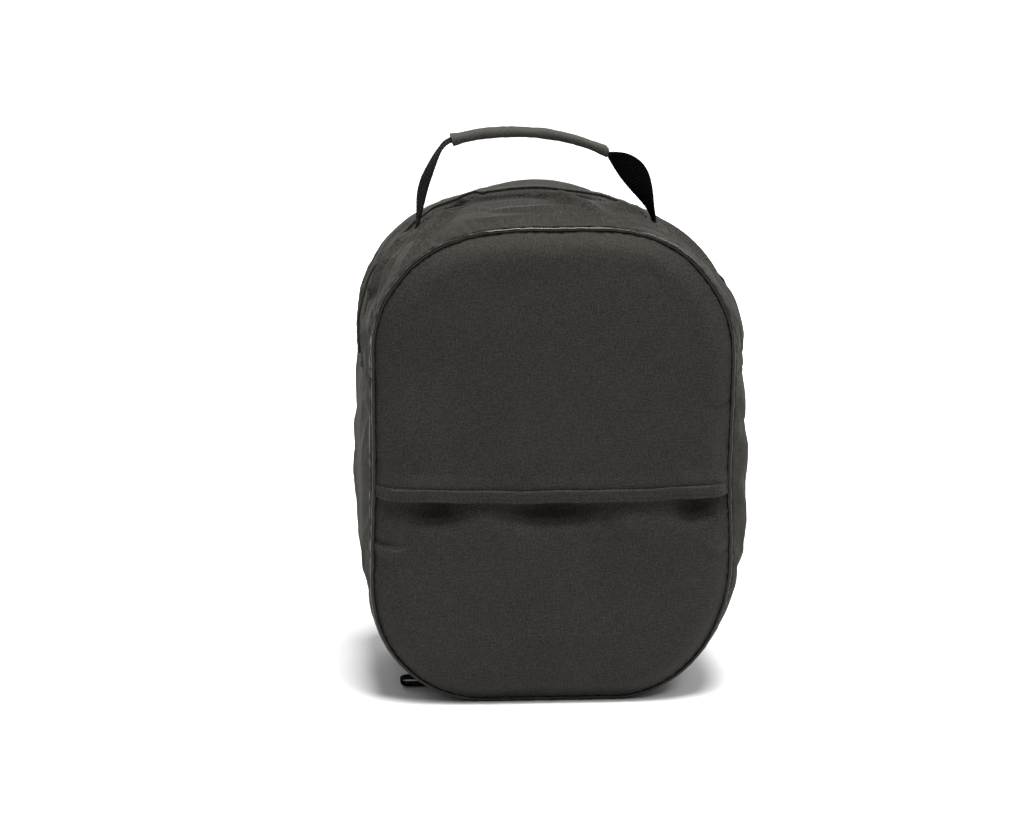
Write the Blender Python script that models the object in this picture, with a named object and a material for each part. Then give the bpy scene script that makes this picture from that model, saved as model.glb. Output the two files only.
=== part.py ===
"""Shoe bag with a zipped lid, a front pocket, a webbing carry handle and a pull loop.

Metres, +Z up. The front faces -Y and +X is to the right. The origin is the middle of the
underside, so the bag stands on z = 0. The cloth gusset runs round the bag between a front and a
rear panel. A zip along the top half of the gusset frees the lid, which folds forward about the
line between the two ends of the zip.
"""

import math

import bpy
import bmesh
import numpy as np

# Driving sizes
WIDTH = 0.270  # front panel, between the outer lines of its piping
HEIGHT = 0.362
DEPTH = 0.155
LIFT = 0.0018  # panel outline above the ground: the thickness of the piping seam
SHOULDER_R = 0.088
SHOULDER_DROP = math.radians(20)  # slope where the shoulder arc meets the gently arched top
BOTTOM_RX = 0.085
BOTTOM_RZ = 0.103
SIDE_SWELL = 0.006  # how far the gusset bellies out halfway between the panels
GAP = 0.0003

# Heights
SEAM_Z = 0.250  # side seams, the ends of the zip and the fold line of the lid
HEM_LOW_Z = 0.158
HEM_TOP_Z = 0.182
POCKET_TOP_Z = 0.150

# Cloth, padding and trim
CLOTH = 0.0015
HEM_THICK = 0.0021
LINING = 0.0012
FOAM = 0.0042
POCKET_DEPTH = 0.0050
EDGE_OFFSET = 0.0018  # outer face of the gusset beyond the panel outline
PANEL_INSET = 0.0023
GUSSET_INSET = 0.0024
PIPING_R = 0.0018
PIPING_SHIFT = 0.0002
BINDING_WIDTH = 0.0105
BINDING_THICK = 0.0015
BOARD_THICK = 0.0025
BOARD_HALF = (0.050, 0.060)

# Zip, measured across the bag from the slit between the two zip flaps
ZIP_Y = -0.004
SLIT_HALF = 0.0012
FRONT_FLAP_Y = -0.030
REAR_FLAP_Y = 0.014
TAB_HEIGHT = 0.0165
TEETH_NEAR = 0.0005
TEETH_FAR = 0.0034
TEETH_TOP = -0.0035
TEETH_LOW = -0.0050
TAPE_NEAR = 0.0037
TAPE_BEND = 0.0068
TAPE_RISE = 0.0092
TAPE_FAR = 0.0136
TAPE_THICK = 0.0005
TAPE_LOW = -0.0045
TAPE_HIGH = -0.0024
SLIDER_HALF = (0.0055, 0.0050)
SLIDER_TOP = (-0.0029, -0.0021)
SLIDER_BOTTOM = (-0.0064, -0.0056)
SLIDER_POST_HALF = (0.0016, 0.0002)
SLIDER_ANGLE = math.radians(3.5)  # place of the parked slider above the start of the shoulder arc
BAIL_HALF = (0.0022, 0.0007)
BAIL_HOLE_HALF = 0.0012
BAIL_HOLE = (0.0000, 0.0021)
BAIL_TOP = 0.0030
PULLER_LENGTH = 0.028
PULLER_THICK = 0.0012
PULLER_CENTRE = 0.00105  # middle of the puller's thickness, out from the gusset
PULLER_WIDTH = (0.0048, 0.0086)
PULLER_EYE_HALF = 0.0014
PULLER_EYE_LENGTH = 0.00252
PULLER_BAR = 0.0012
PULLER_CORNER = (0.0017, 0.0069)  # how far in and how far up the tab's end corners are cut

# Handle
HANDLE_Y = -0.0175
WEBBING_WIDTH = 0.0235
WEBBING_THICK = 0.0016
LEFT_FOOT_X = -0.0975
RIGHT_FOOT_X = 0.0795
FOOT_CLEARANCE = 0.0014
SLEEVE_START = 4  # points of the handle's route at which the grip sleeve starts and ends
SLEEVE_END = 9
SLEEVE_OUTER = (0.0275, 0.0042)
SLEEVE_INNER = (0.0245, 0.0026)
FOOT_LENGTH = 0.016
TWIST = math.radians(62)
FOOT_TAPER = 0.33  # half width for each metre above the foot, so that the handle can fold
FOOT_HALF = 0.0008
HANDLE_LINE = (  # (x, z) of the webbing's middle between the two feet
    (-0.0950, 0.3700),
    (-0.0895, 0.3900),
    (-0.0815, 0.4080),
    (-0.0720, 0.4170),
    (-0.0500, 0.4215),
    (-0.0250, 0.4230),
    (0.0000, 0.4212),
    (0.0230, 0.4160),
    (0.0430, 0.4085),
    (0.0540, 0.4020),
    (0.0640, 0.3915),
    (0.0710, 0.3800),
    (0.0760, 0.3690),
)

# Pull loop
LOOP_Y = -0.036
LOOP_WIDTH = 0.012
LOOP_THICK = 0.0013
LOOP_ROOT = (-0.0795, 0.0030)
LOOP_LINE = (  # (x, z) along the folded webbing, from the lower end round the tip to the upper end
    (-0.0795, 0.00095),
    (-0.1025, 0.00095),
    (-0.1073, 0.00165),
    (-0.1085, 0.00355),
    (-0.1069, 0.00565),
    (-0.1025, 0.00595),
    (-0.0855, 0.00475),
    (-0.0795, 0.00355),
)

# How finely curves are drawn
SMOOTH_ANGLE = math.radians(35)
SHOULDER_STEPS = 14
CORNER_STEPS = 9
PIPING_STEPS = 10
PIPING_SIDES = 8

FRONT_Y = -DEPTH / 2
REAR_Y = DEPTH / 2
HALF = WIDTH / 2
SHOULDER_X = HALF - SHOULDER_R
TOP_R = SHOULDER_X / math.sin(SHOULDER_DROP) + SHOULDER_R
SHOULDER_Z = HEIGHT + LIFT - TOP_R + (TOP_R - SHOULDER_R) * math.cos(SHOULDER_DROP)
TOP_CENTRE_Z = HEIGHT + LIFT - TOP_R
FOLD_Y = FRONT_Y - PIPING_R
TAB_TOP_Z = SEAM_Z + TAB_HEIGHT

COLOURS = {
    "shell_cloth": ((0.031, 0.030, 0.029), 0.85, 0.0),
    "lining": ((0.060, 0.060, 0.062), 0.80, 0.0),
    "foam": ((0.30, 0.30, 0.31), 0.95, 0.0),
    "board": ((0.22, 0.22, 0.21), 0.70, 0.0),
    "piping": ((0.012, 0.012, 0.012), 0.30, 0.0),
    "webbing": ((0.007, 0.007, 0.008), 0.75, 0.0),
    "binding": ((0.012, 0.012, 0.013), 0.80, 0.0),
    "zip_tape": ((0.010, 0.010, 0.011), 0.80, 0.0),
    "zip_teeth": ((0.015, 0.015, 0.016), 0.40, 0.0),
    "zip_metal": ((0.050, 0.050, 0.052), 0.35, 1.0),
}


def clear_scene():
    for obj in list(bpy.data.objects):
        bpy.data.objects.remove(obj)


def material(name):
    found = bpy.data.materials.get(name)
    if found:
        return found
    colour, roughness, metallic = COLOURS[name]
    made = bpy.data.materials.new(name)
    made.use_nodes = True
    shader = made.node_tree.nodes["Principled BSDF"]
    shader.inputs["Base Color"].default_value = (*colour, 1)
    shader.inputs["Roughness"].default_value = roughness
    shader.inputs["Metallic"].default_value = metallic
    made.diffuse_color = (*colour, 1)
    return made


def finish_object(name, mesh_maker, slot, origin=(0, 0, 0)):
    """An object from a bmesh, its origin moved to the given point."""
    bmesh.ops.recalc_face_normals(mesh_maker, faces=mesh_maker.faces)
    bmesh.ops.translate(mesh_maker, verts=mesh_maker.verts, vec=[-c for c in origin])
    mesh = bpy.data.meshes.new(name)
    mesh_maker.to_mesh(mesh)
    mesh_maker.free()
    mesh.materials.append(material(slot))
    mesh.shade_smooth()
    mesh.set_sharp_from_angle(angle=SMOOTH_ANGLE)
    obj = bpy.data.objects.new(name, mesh)
    obj.location = origin
    bpy.context.scene.collection.objects.link(obj)
    return obj


# The outline of the bag, seen from the front. Each point is (x, z, normal x, normal z).


def arc(centre, radii, start, end, steps):
    """Points along an ellipse between two angles in degrees, counter-clockwise from +X."""
    points = []
    for angle in np.radians(np.linspace(start, end, steps + 1)):
        across, up = math.cos(angle), math.sin(angle)
        normal = np.array([across / radii[0], up / radii[1]])
        normal /= np.linalg.norm(normal)
        points.append((centre[0] + radii[0] * across, centre[1] + radii[1] * up, *normal))
    return points


def mirrored(points):
    return [(-x, z, -nx, nz) for x, z, nx, nz in reversed(points)]


def upper_half(low_z, steps=SHOULDER_STEPS):
    """The right side from low_z over the shoulder to the middle of the top."""
    drop = math.degrees(SHOULDER_DROP)
    side = [(HALF, low_z, 1.0, 0.0)] if low_z < SHOULDER_Z - GAP else []
    shoulder = arc((SHOULDER_X, SHOULDER_Z), (SHOULDER_R, SHOULDER_R), 0, 90 - drop, steps)
    top = arc((0, TOP_CENTRE_Z), (TOP_R, TOP_R), 90 - drop, 90, max(2, steps // 3))
    return side + shoulder + top[1:]


def lower_half(high_z, steps=CORNER_STEPS):
    """The right side from the middle of the base round the corner and up to high_z."""
    corner = arc((HALF - BOTTOM_RX, LIFT + BOTTOM_RZ), (BOTTOM_RX, BOTTOM_RZ), -90, 0, steps)
    return [(0.0, LIFT, 0.0, -1.0)] + corner + [(HALF, high_z, 1.0, 0.0)]


def upper_path(low_z, steps=SHOULDER_STEPS):
    """Right to left over the top."""
    half = upper_half(low_z, steps)
    return half + mirrored(half)[1:]


def lower_path(high_z, steps=CORNER_STEPS):
    """Left to right under the base."""
    half = lower_half(high_z, steps)
    return mirrored(half) + half[1:]


def inset(points, amount):
    return [(x - nx * amount, z - nz * amount) for x, z, nx, nz in points]


def swell(y, normal_z):
    """How far the gusset stands out past its edges at y; nothing where it lies on the ground."""
    across = 1 - (2 * y / DEPTH) ** 2
    return SIDE_SWELL * across * (1 + min(0.0, normal_z))


# Solids


def bridge(maker, first, second):
    count = len(first)
    for i in range(count):
        j = (i + 1) % count
        maker.faces.new((first[i], first[j], second[j], second[i]))


def sweep(name, path, section, slot, closed=False, origin=(0, 0, 0)):
    """Carries a closed section of (y, offset) points along the outline."""
    maker = bmesh.new()
    rings = []
    for x, z, nx, nz in path:
        ring = []
        for y, offset in section:
            out = offset + swell(y, nz)
            ring.append(maker.verts.new((x + nx * out, y, z + nz * out)))
        rings.append(ring)
    for first, second in zip(rings, rings[1:]):
        bridge(maker, first, second)
    if closed:
        bridge(maker, rings[-1], rings[0])
    else:
        maker.faces.new(rings[0])
        maker.faces.new(rings[-1])
    return finish_object(name, maker, slot, origin)


def strip_section(y_from, y_to, outer, thickness, spans=1):
    """A thin strip that follows the gusset's swell, its outer face at the given offset."""
    across = list(np.linspace(y_from, y_to, spans + 1))
    out = [(y, outer) for y in across]
    back = [(y, outer - thickness) for y in reversed(across)]
    return out + back


def round_section(y, radius, sides=PIPING_SIDES):
    """A round section whose middle follows the swell's edge, where the swell is next to nothing."""
    points = []
    for i in range(sides):
        angle = 2 * math.pi * (i + 0.5) / sides
        points.append((y + radius * math.cos(angle), -PIPING_SHIFT + radius * math.sin(angle)))
    return points


def plate(name, outline, y_from, y_to, slot, origin=(0, 0, 0)):
    """A flat plate with the given (x, z) outline, between two depths."""
    maker = bmesh.new()
    front = [maker.verts.new((x, y_from, z)) for x, z in outline]
    rear = [maker.verts.new((x, y_to, z)) for x, z in outline]
    maker.faces.new(front)
    maker.faces.new(rear)
    bridge(maker, front, rear)
    return finish_object(name, maker, slot, origin)


def box(name, low, high, slot, origin=(0, 0, 0)):
    outline = [(low[0], low[2]), (high[0], low[2]), (high[0], high[2]), (low[0], high[2])]
    return plate(name, outline, low[1], high[1], slot, origin)


def union(target, *others):
    """Joins other objects into the target, and keeps them as hidden helpers."""
    for other in others:
        other.hide_render = True
        other.display_type = "WIRE"
        joint = target.modifiers.new("with_" + other.name, "BOOLEAN")
        joint.operation = "UNION"
        joint.object = other


def ribbon(name, route, twists, widths, size, slot, hole=None, origin=(0, 0, 0)):
    """A flat band along (x, z) points, its width along Y unless twisted; a hole makes it a tube.

    The widths are shares of the full width, one for each point.
    """
    maker = bmesh.new()
    points = np.array(route)
    outer_rings, inner_rings = [], []
    for i, point in enumerate(points):
        ahead = points[min(i + 1, len(points) - 1)] - points[max(i - 1, 0)]
        ahead /= np.linalg.norm(ahead)
        up = np.array([-ahead[1], 0, ahead[0]])
        across = np.array([0, 1, 0])
        wide = math.cos(twists[i]) * across + math.sin(twists[i]) * up
        thick = math.cos(twists[i]) * up - math.sin(twists[i]) * across
        middle = np.array([point[0], HANDLE_Y, point[1]])
        for rings, extent in ((outer_rings, size), (inner_rings, hole)):
            if extent is None:
                continue
            ring = []
            for a, b in ((-1, -1), (1, -1), (1, 1), (-1, 1)):
                corner = middle + wide * a * widths[i] * extent[0] / 2
                corner = corner + thick * b * extent[1] / 2
                ring.append(maker.verts.new(corner))
            rings.append(ring)
    for rings in (outer_rings, inner_rings):
        for first, second in zip(rings, rings[1:]):
            bridge(maker, first, second)
    if hole is None:
        maker.faces.new(outer_rings[0])
        maker.faces.new(outer_rings[-1])
    else:
        bridge(maker, outer_rings[0], inner_rings[0])
        bridge(maker, outer_rings[-1], inner_rings[-1])
    return finish_object(name, maker, slot, origin)


# Panels and padding


def build_rear_wall():
    whole = lower_path(SEAM_Z) + upper_path(SEAM_Z)[1:-1]
    outline = inset(whole, PANEL_INSET)
    inner = inset(whole, PANEL_INSET + GAP)
    face = REAR_Y - CLOTH
    foam = face - GAP - FOAM
    plate("rear_panel", outline, face, REAR_Y, "shell_cloth")
    plate("rear_foam_board", inner, foam, face - GAP, "foam")
    plate("rear_lining", outline, foam - GAP - LINING, foam - GAP, "lining")


def build_front_wall():
    """The fixed front below the fold line: pocket front, pocket flap, facing, foam and lining."""
    below_fold = lower_path(SEAM_Z - GAP)
    outline = inset(below_fold, PANEL_INSET)
    wall = FRONT_Y + CLOTH + POCKET_DEPTH
    lining = wall + FOAM + GAP
    pocket = inset(lower_path(POCKET_TOP_Z), PANEL_INSET)
    plate("pocket_front", pocket, FRONT_Y + GAP, FRONT_Y + CLOTH, "shell_cloth")
    plate("front_foam_lower", inset(below_fold, PANEL_INSET + GAP), wall, wall + FOAM, "foam")
    plate("front_lining_lower", outline, lining, lining + LINING, "lining")
    side = HALF - PANEL_INSET
    box(
        "front_panel_lower",
        (-side, FRONT_Y, HEM_TOP_Z + GAP),
        (side, FRONT_Y + CLOTH, SEAM_Z - GAP),
        "shell_cloth",
    )
    box(
        "pocket_flap",
        (-side, FRONT_Y, HEM_LOW_Z),
        (side, FRONT_Y + HEM_THICK, HEM_TOP_Z),
        "shell_cloth",
        origin=(0, FRONT_Y, HEM_TOP_Z),
    )


def build_lid_wall(origin):
    outline = inset(upper_path(SEAM_Z + GAP), PANEL_INSET)
    inner = inset(upper_path(SEAM_Z + GAP), PANEL_INSET + GAP)
    foam = FRONT_Y + CLOTH + GAP
    lining = foam + FOAM + GAP
    plate("lid_panel", outline, FRONT_Y, FRONT_Y + CLOTH, "shell_cloth", origin)
    plate("lid_foam", inner, foam, foam + FOAM, "foam", origin)
    plate("lid_lining", outline, lining, lining + LINING, "lining", origin)


def build_piping(origin):
    front = round_section(FRONT_Y + PIPING_SHIFT, PIPING_R)
    rear = round_section(REAR_Y - PIPING_SHIFT, PIPING_R)
    sweep("piping_lid", upper_path(SEAM_Z + GAP, PIPING_STEPS), front, "piping", origin=origin)
    sweep("piping_front_lower", lower_path(SEAM_Z - GAP), front, "piping")
    loop = lower_path(SEAM_Z) + upper_path(SEAM_Z, PIPING_STEPS)[1:-1]
    sweep("piping_rear", loop, rear, "piping", closed=True)


# Gusset


def build_gusset(origin):
    front_edge = FRONT_Y + GUSSET_INSET
    rear_edge = REAR_Y - GUSSET_INSET
    base = strip_section(front_edge, rear_edge, EDGE_OFFSET, CLOTH, 8)
    sweep("base_gusset", lower_path(SEAM_Z - GAP), base, "shell_cloth")
    band = strip_section(front_edge, FRONT_FLAP_Y - GAP, EDGE_OFFSET, CLOTH, 3)
    sweep("lid_gusset", upper_path(SEAM_Z + GAP), band, "shell_cloth", origin=origin)
    band = strip_section(REAR_FLAP_Y + GAP, rear_edge, EDGE_OFFSET, CLOTH, 4)
    sweep("rear_gusset", upper_path(SEAM_Z + GAP), band, "shell_cloth")
    above_tab = upper_path(TAB_TOP_Z + GAP)
    flap = strip_section(FRONT_FLAP_Y, ZIP_Y - SLIT_HALF, EDGE_OFFSET, CLOTH, 2)
    sweep("zip_flap_front", above_tab, flap, "shell_cloth", origin=origin)
    flap = strip_section(ZIP_Y + SLIT_HALF, REAR_FLAP_Y, EDGE_OFFSET, CLOTH, 2)
    sweep("zip_flap_rear", above_tab, flap, "shell_cloth")
    side = [(HALF, SEAM_Z + GAP, 1.0, 0.0), (HALF, TAB_TOP_Z, 1.0, 0.0)]
    tab = strip_section(FRONT_FLAP_Y, REAR_FLAP_Y, EDGE_OFFSET, CLOTH, 4)
    sweep("zip_end_tab_right", side, tab, "shell_cloth")
    sweep("zip_end_tab_left", mirrored(side), tab, "shell_cloth")


def build_seam_trim(origin):
    """Tapes inside the bag: they bind the panel seams and cover the side seams."""
    start = FRONT_Y + GUSSET_INSET + GAP
    front = strip_section(start, start + BINDING_WIDTH, -GAP, BINDING_THICK, 1)
    rear = strip_section(-start - BINDING_WIDTH, -start, -GAP, BINDING_THICK, 1)
    sweep("binding_lid", upper_path(SEAM_Z + GAP, PIPING_STEPS), front, "binding", origin=origin)
    sweep("binding_front_lower", lower_path(SEAM_Z - GAP), front, "binding")
    loop = lower_path(SEAM_Z) + upper_path(SEAM_Z, PIPING_STEPS)[1:-1]
    sweep("binding_rear", loop, rear, "binding", closed=True)
    tape_low = SEAM_Z - BINDING_WIDTH
    side = [(HALF, tape_low, 1.0, 0.0), (HALF, SEAM_Z - GAP, 1.0, 0.0)]
    reach = start + BINDING_WIDTH + GAP
    tape = strip_section(reach, -reach, EDGE_OFFSET - CLOTH - GAP, TAPE_THICK, 6)
    sweep("side_seam_tape_right", side, tape, "binding")
    sweep("side_seam_tape_left", mirrored(side), tape, "binding")


def build_base_board():
    half_x, half_y = BOARD_HALF
    floor = CLOTH + GAP
    box("base_board", (-half_x, -half_y, floor), (half_x, half_y, floor + BOARD_THICK), "board")


# Zip


def tape_section(side):
    """One zip tape: flat beside the teeth, then up to the underside of its flap."""
    line = [
        (TAPE_NEAR, TAPE_LOW),
        (TAPE_BEND, TAPE_LOW),
        (TAPE_RISE, TAPE_HIGH),
        (TAPE_FAR, TAPE_HIGH),
    ]
    low = [(ZIP_Y + side * y, EDGE_OFFSET + offset) for y, offset in line]
    high = [(y, offset + TAPE_THICK) for y, offset in reversed(low)]
    return low + high


def teeth_section(side):
    near, far = ZIP_Y + side * TEETH_NEAR, ZIP_Y + side * TEETH_FAR
    low, high = EDGE_OFFSET + TEETH_LOW, EDGE_OFFSET + TEETH_TOP
    return [(near, low), (far, low), (far, high), (near, high)]


def build_zip_chain(origin):
    tape_path = upper_path(SEAM_Z + GAP)
    teeth_path = upper_path(TAB_TOP_Z + GAP)
    sweep("zip_tape_front", tape_path, tape_section(-1), "zip_tape", origin=origin)
    sweep("zip_teeth_front", teeth_path, teeth_section(-1), "zip_teeth", origin=origin)
    sweep("zip_tape_rear", tape_path, tape_section(1), "zip_tape")
    sweep("zip_teeth_rear", teeth_path, teeth_section(1), "zip_teeth")
    stop_low = TAB_TOP_Z - GAP - TEETH_FAR
    side = [(HALF, stop_low, 1.0, 0.0), (HALF, TAB_TOP_Z - GAP, 1.0, 0.0)]
    stop = strip_section(
        ZIP_Y - TEETH_FAR,
        ZIP_Y + TEETH_FAR,
        EDGE_OFFSET + TEETH_TOP,
        TEETH_TOP - TEETH_LOW,
    )
    sweep("zip_stop_right", side, stop, "zip_metal")
    sweep("zip_stop_left", mirrored(side), stop, "zip_metal")


def place_on_track(obj, angle):
    """Turns a piece made at the start of the shoulder arc about the arc's centre."""
    obj.rotation_euler = (0, -angle, 0)


def track_box(name, half_u, y_half, out_from, out_to, slot):
    """A box at the start of the right shoulder arc, its outward sizes from the gusset's face."""
    face = HALF - SHOULDER_X + EDGE_OFFSET + swell(ZIP_Y, 0)
    centre = (SHOULDER_X, ZIP_Y, SHOULDER_Z)
    low = (SHOULDER_X + face + out_from, ZIP_Y - y_half, SHOULDER_Z - half_u)
    high = (SHOULDER_X + face + out_to, ZIP_Y + y_half, SHOULDER_Z + half_u)
    obj = box(name, low, high, slot, origin=centre)
    place_on_track(obj, SLIDER_ANGLE)
    return obj


def build_slider():
    half_u, half_y = SLIDER_HALF
    slider = track_box("zip_slider", half_u, half_y, *SLIDER_TOP, "zip_metal")
    lower = track_box("slider_lower_plate", half_u, half_y, *SLIDER_BOTTOM, "zip_metal")
    overlap = (SLIDER_BOTTOM[1] - GAP, SLIDER_TOP[0] + GAP)
    post = track_box("slider_post", *SLIDER_POST_HALF, *overlap, "zip_metal")
    union(slider, lower, post, build_bail())
    return slider


def build_bail():
    """The small arch on the slider that passes through the slit and holds the puller."""
    face = HALF + EDGE_OFFSET + swell(ZIP_Y, 0)
    half_u, half_y = BAIL_HALF
    foot = SLIDER_TOP[0] + GAP
    outline = [
        (face + foot, SHOULDER_Z - half_u),
        (face + BAIL_TOP, SHOULDER_Z - half_u),
        (face + BAIL_TOP, SHOULDER_Z + half_u),
        (face + foot, SHOULDER_Z + half_u),
        (face + foot, SHOULDER_Z + BAIL_HOLE_HALF),
        (face + BAIL_HOLE[1], SHOULDER_Z + BAIL_HOLE_HALF),
        (face + BAIL_HOLE[1], SHOULDER_Z - BAIL_HOLE_HALF),
        (face + foot, SHOULDER_Z - BAIL_HOLE_HALF),
    ]
    centre = (SHOULDER_X, ZIP_Y, SHOULDER_Z)
    bail = plate("slider_bail", outline, ZIP_Y - half_y, ZIP_Y + half_y, "zip_metal", centre)
    place_on_track(bail, SLIDER_ANGLE)
    return bail


def puller_axis():
    """Where the puller's bar lies in the bail, on the parked slider."""
    radius = HALF - SHOULDER_X + EDGE_OFFSET + swell(ZIP_Y, 0) + PULLER_CENTRE
    return (
        SHOULDER_X + radius * math.cos(SLIDER_ANGLE),
        ZIP_Y,
        SHOULDER_Z + radius * math.sin(SLIDER_ANGLE),
    )


def build_puller():
    """A flat tab with an eye; its bar lies in the bail and it hangs straight down."""
    axis = puller_axis()
    top = PULLER_BAR / 2
    eye_low = top - PULLER_BAR - PULLER_EYE_LENGTH
    narrow, wide = PULLER_WIDTH[0] / 2, PULLER_WIDTH[1] / 2
    cut_across, cut_up = PULLER_CORNER
    outer = [
        (-narrow, top),
        (narrow, top),
        (narrow, eye_low - PULLER_BAR),
        (wide, cut_up - PULLER_LENGTH),
        (wide - cut_across, -PULLER_LENGTH),
        (cut_across - wide, -PULLER_LENGTH),
        (-wide, cut_up - PULLER_LENGTH),
        (-narrow, eye_low - PULLER_BAR),
    ]
    eye = [
        (-PULLER_EYE_HALF, top - PULLER_BAR),
        (PULLER_EYE_HALF, top - PULLER_BAR),
        (PULLER_EYE_HALF, eye_low),
        (-PULLER_EYE_HALF, eye_low),
    ]
    maker = bmesh.new()
    layers = []
    for out in (-PULLER_THICK / 2, PULLER_THICK / 2):
        rings = []
        for points in (outer, eye):
            place = [(axis[0] + out, axis[1] + y, axis[2] + z) for y, z in points]
            rings.append([maker.verts.new(p) for p in place])
        layers.append(rings)
    for outside, inside in layers:
        fill_round_eye(maker, outside, inside)
    for ring_index in (0, 1):
        bridge(maker, layers[0][ring_index], layers[1][ring_index])
    return finish_object("zip_puller", maker, "zip_metal", origin=axis)


def fill_round_eye(maker, outside, inside):
    """Faces between the tab's outline and the eye through it."""
    maker.faces.new((outside[0], outside[1], inside[1], inside[0]))
    maker.faces.new((outside[1], outside[2], inside[2], inside[1]))
    maker.faces.new((outside[7], outside[0], inside[0], inside[3]))
    maker.faces.new((outside[2], outside[7], inside[3], inside[2]))
    maker.faces.new(outside[2:8])


# Handle and pull loop


def foot_point(x):
    """Where the webbing leaves the shoulder at x, just above the gusset."""
    reach = SHOULDER_R + EDGE_OFFSET + SIDE_SWELL
    height = math.sqrt(reach**2 - (abs(x) - SHOULDER_X) ** 2)
    return (x, SHOULDER_Z + height + FOOT_CLEARANCE)


def handle_route():
    """Points of the webbing's middle, from the left foot over the grip to the right foot."""
    return [foot_point(LEFT_FOOT_X), *HANDLE_LINE, foot_point(RIGHT_FOOT_X)]


def handle_twists(count):
    """The webbing turns its face to the front on the right, between the grip and the foot."""
    twists = [0.0] * count
    free = range(SLEEVE_END, count)
    for i in free:
        along = (i - SLEEVE_END) / (count - 1 - SLEEVE_END)
        twists[i] = -TWIST * math.sin(math.pi * along)
    return twists


def handle_widths(route):
    """The webbing narrows to its feet, where the real webbing is pinched and can fold over."""
    shares = []
    for x, z in route:
        foot_z = foot_point(LEFT_FOOT_X if x < 0 else RIGHT_FOOT_X)[1]
        half = FOOT_HALF + FOOT_TAPER * (z - foot_z)
        shares.append(min(1.0, 2 * half / WEBBING_WIDTH))
    return shares


def build_handle():
    route = handle_route()
    twists = handle_twists(len(route))
    origin = (LEFT_FOOT_X, HANDLE_Y, foot_point(LEFT_FOOT_X)[1])
    size = (WEBBING_WIDTH, WEBBING_THICK)
    ribbon("handle_webbing", route, twists, handle_widths(route), size, "webbing", origin=origin)
    grip = route[SLEEVE_START : SLEEVE_END + 1]
    flat = [0.0] * len(grip)
    full = [1.0] * len(grip)
    ribbon("grip_sleeve", grip, flat, full, SLEEVE_OUTER, "shell_cloth", SLEEVE_INNER, origin)


def build_handle_feet(origin):
    """The ends of the webbing, sewn flat on the zip flap down each shoulder."""
    half_width = WEBBING_WIDTH / 2
    y_from, y_to = HANDLE_Y - half_width, HANDLE_Y + half_width
    section = strip_section(y_from, y_to, EDGE_OFFSET + GAP + WEBBING_THICK, WEBBING_THICK, 2)
    reach = SHOULDER_R + EDGE_OFFSET + SIDE_SWELL
    for name, foot_x in (("handle_foot_right", RIGHT_FOOT_X), ("handle_foot_left", LEFT_FOOT_X)):
        high = math.degrees(math.acos((abs(foot_x) - SHOULDER_X) / reach))
        high -= math.degrees(WEBBING_THICK / reach)
        low = high - math.degrees(FOOT_LENGTH / reach)
        radii = (SHOULDER_R, SHOULDER_R)
        path = arc((SHOULDER_X, SHOULDER_Z), radii, low, high, 3)
        sweep(name, path if foot_x > 0 else mirrored(path), section, "webbing", origin=origin)


def build_pull_loop():
    """Webbing folded back on itself, lying on the ground below the left corner."""
    points = np.array(LOOP_LINE)
    maker = bmesh.new()
    rings = []
    for i, point in enumerate(points):
        ahead = points[min(i + 1, len(points) - 1)] - points[max(i - 1, 0)]
        ahead /= np.linalg.norm(ahead)
        side = np.array([-ahead[1], ahead[0]]) * LOOP_THICK / 2
        ring = []
        for offset, y in ((side, -1), (side, 1), (-side, 1), (-side, -1)):
            x, z = point + offset
            ring.append(maker.verts.new((x, LOOP_Y + y * LOOP_WIDTH / 2, z)))
        rings.append(ring)
    for first, second in zip(rings, rings[1:]):
        bridge(maker, first, second)
    maker.faces.new(rings[0])
    maker.faces.new(rings[-1])
    finish_object("pull_loop", maker, "webbing", origin=(LOOP_ROOT[0], LOOP_Y, LOOP_ROOT[1]))


def build_bag():
    fold_line = (0, FOLD_Y, SEAM_Z)
    build_rear_wall()
    build_front_wall()
    build_lid_wall(fold_line)
    build_piping(fold_line)
    build_gusset(fold_line)
    build_seam_trim(fold_line)
    build_base_board()
    build_zip_chain(fold_line)
    build_slider()
    build_puller()
    build_handle()
    build_handle_feet(fold_line)
    build_pull_loop()


clear_scene()
build_bag()
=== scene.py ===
"""Looks of the shoe bag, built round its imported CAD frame.

Metres, +Z up. The front faces -Y and +X is to the right. Most cloth follows one outline, the rounded
shape of the front and rear panels. A point on the gusset is given by u, the distance round that
outline from the middle of the base, counter-clockwise seen from the front, and by y, the depth.
"""

import math

import bmesh
import bpy
import numpy as np
from mathutils import Matrix, Vector
from mathutils.geometry import delaunay_2d_cdt


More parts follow.
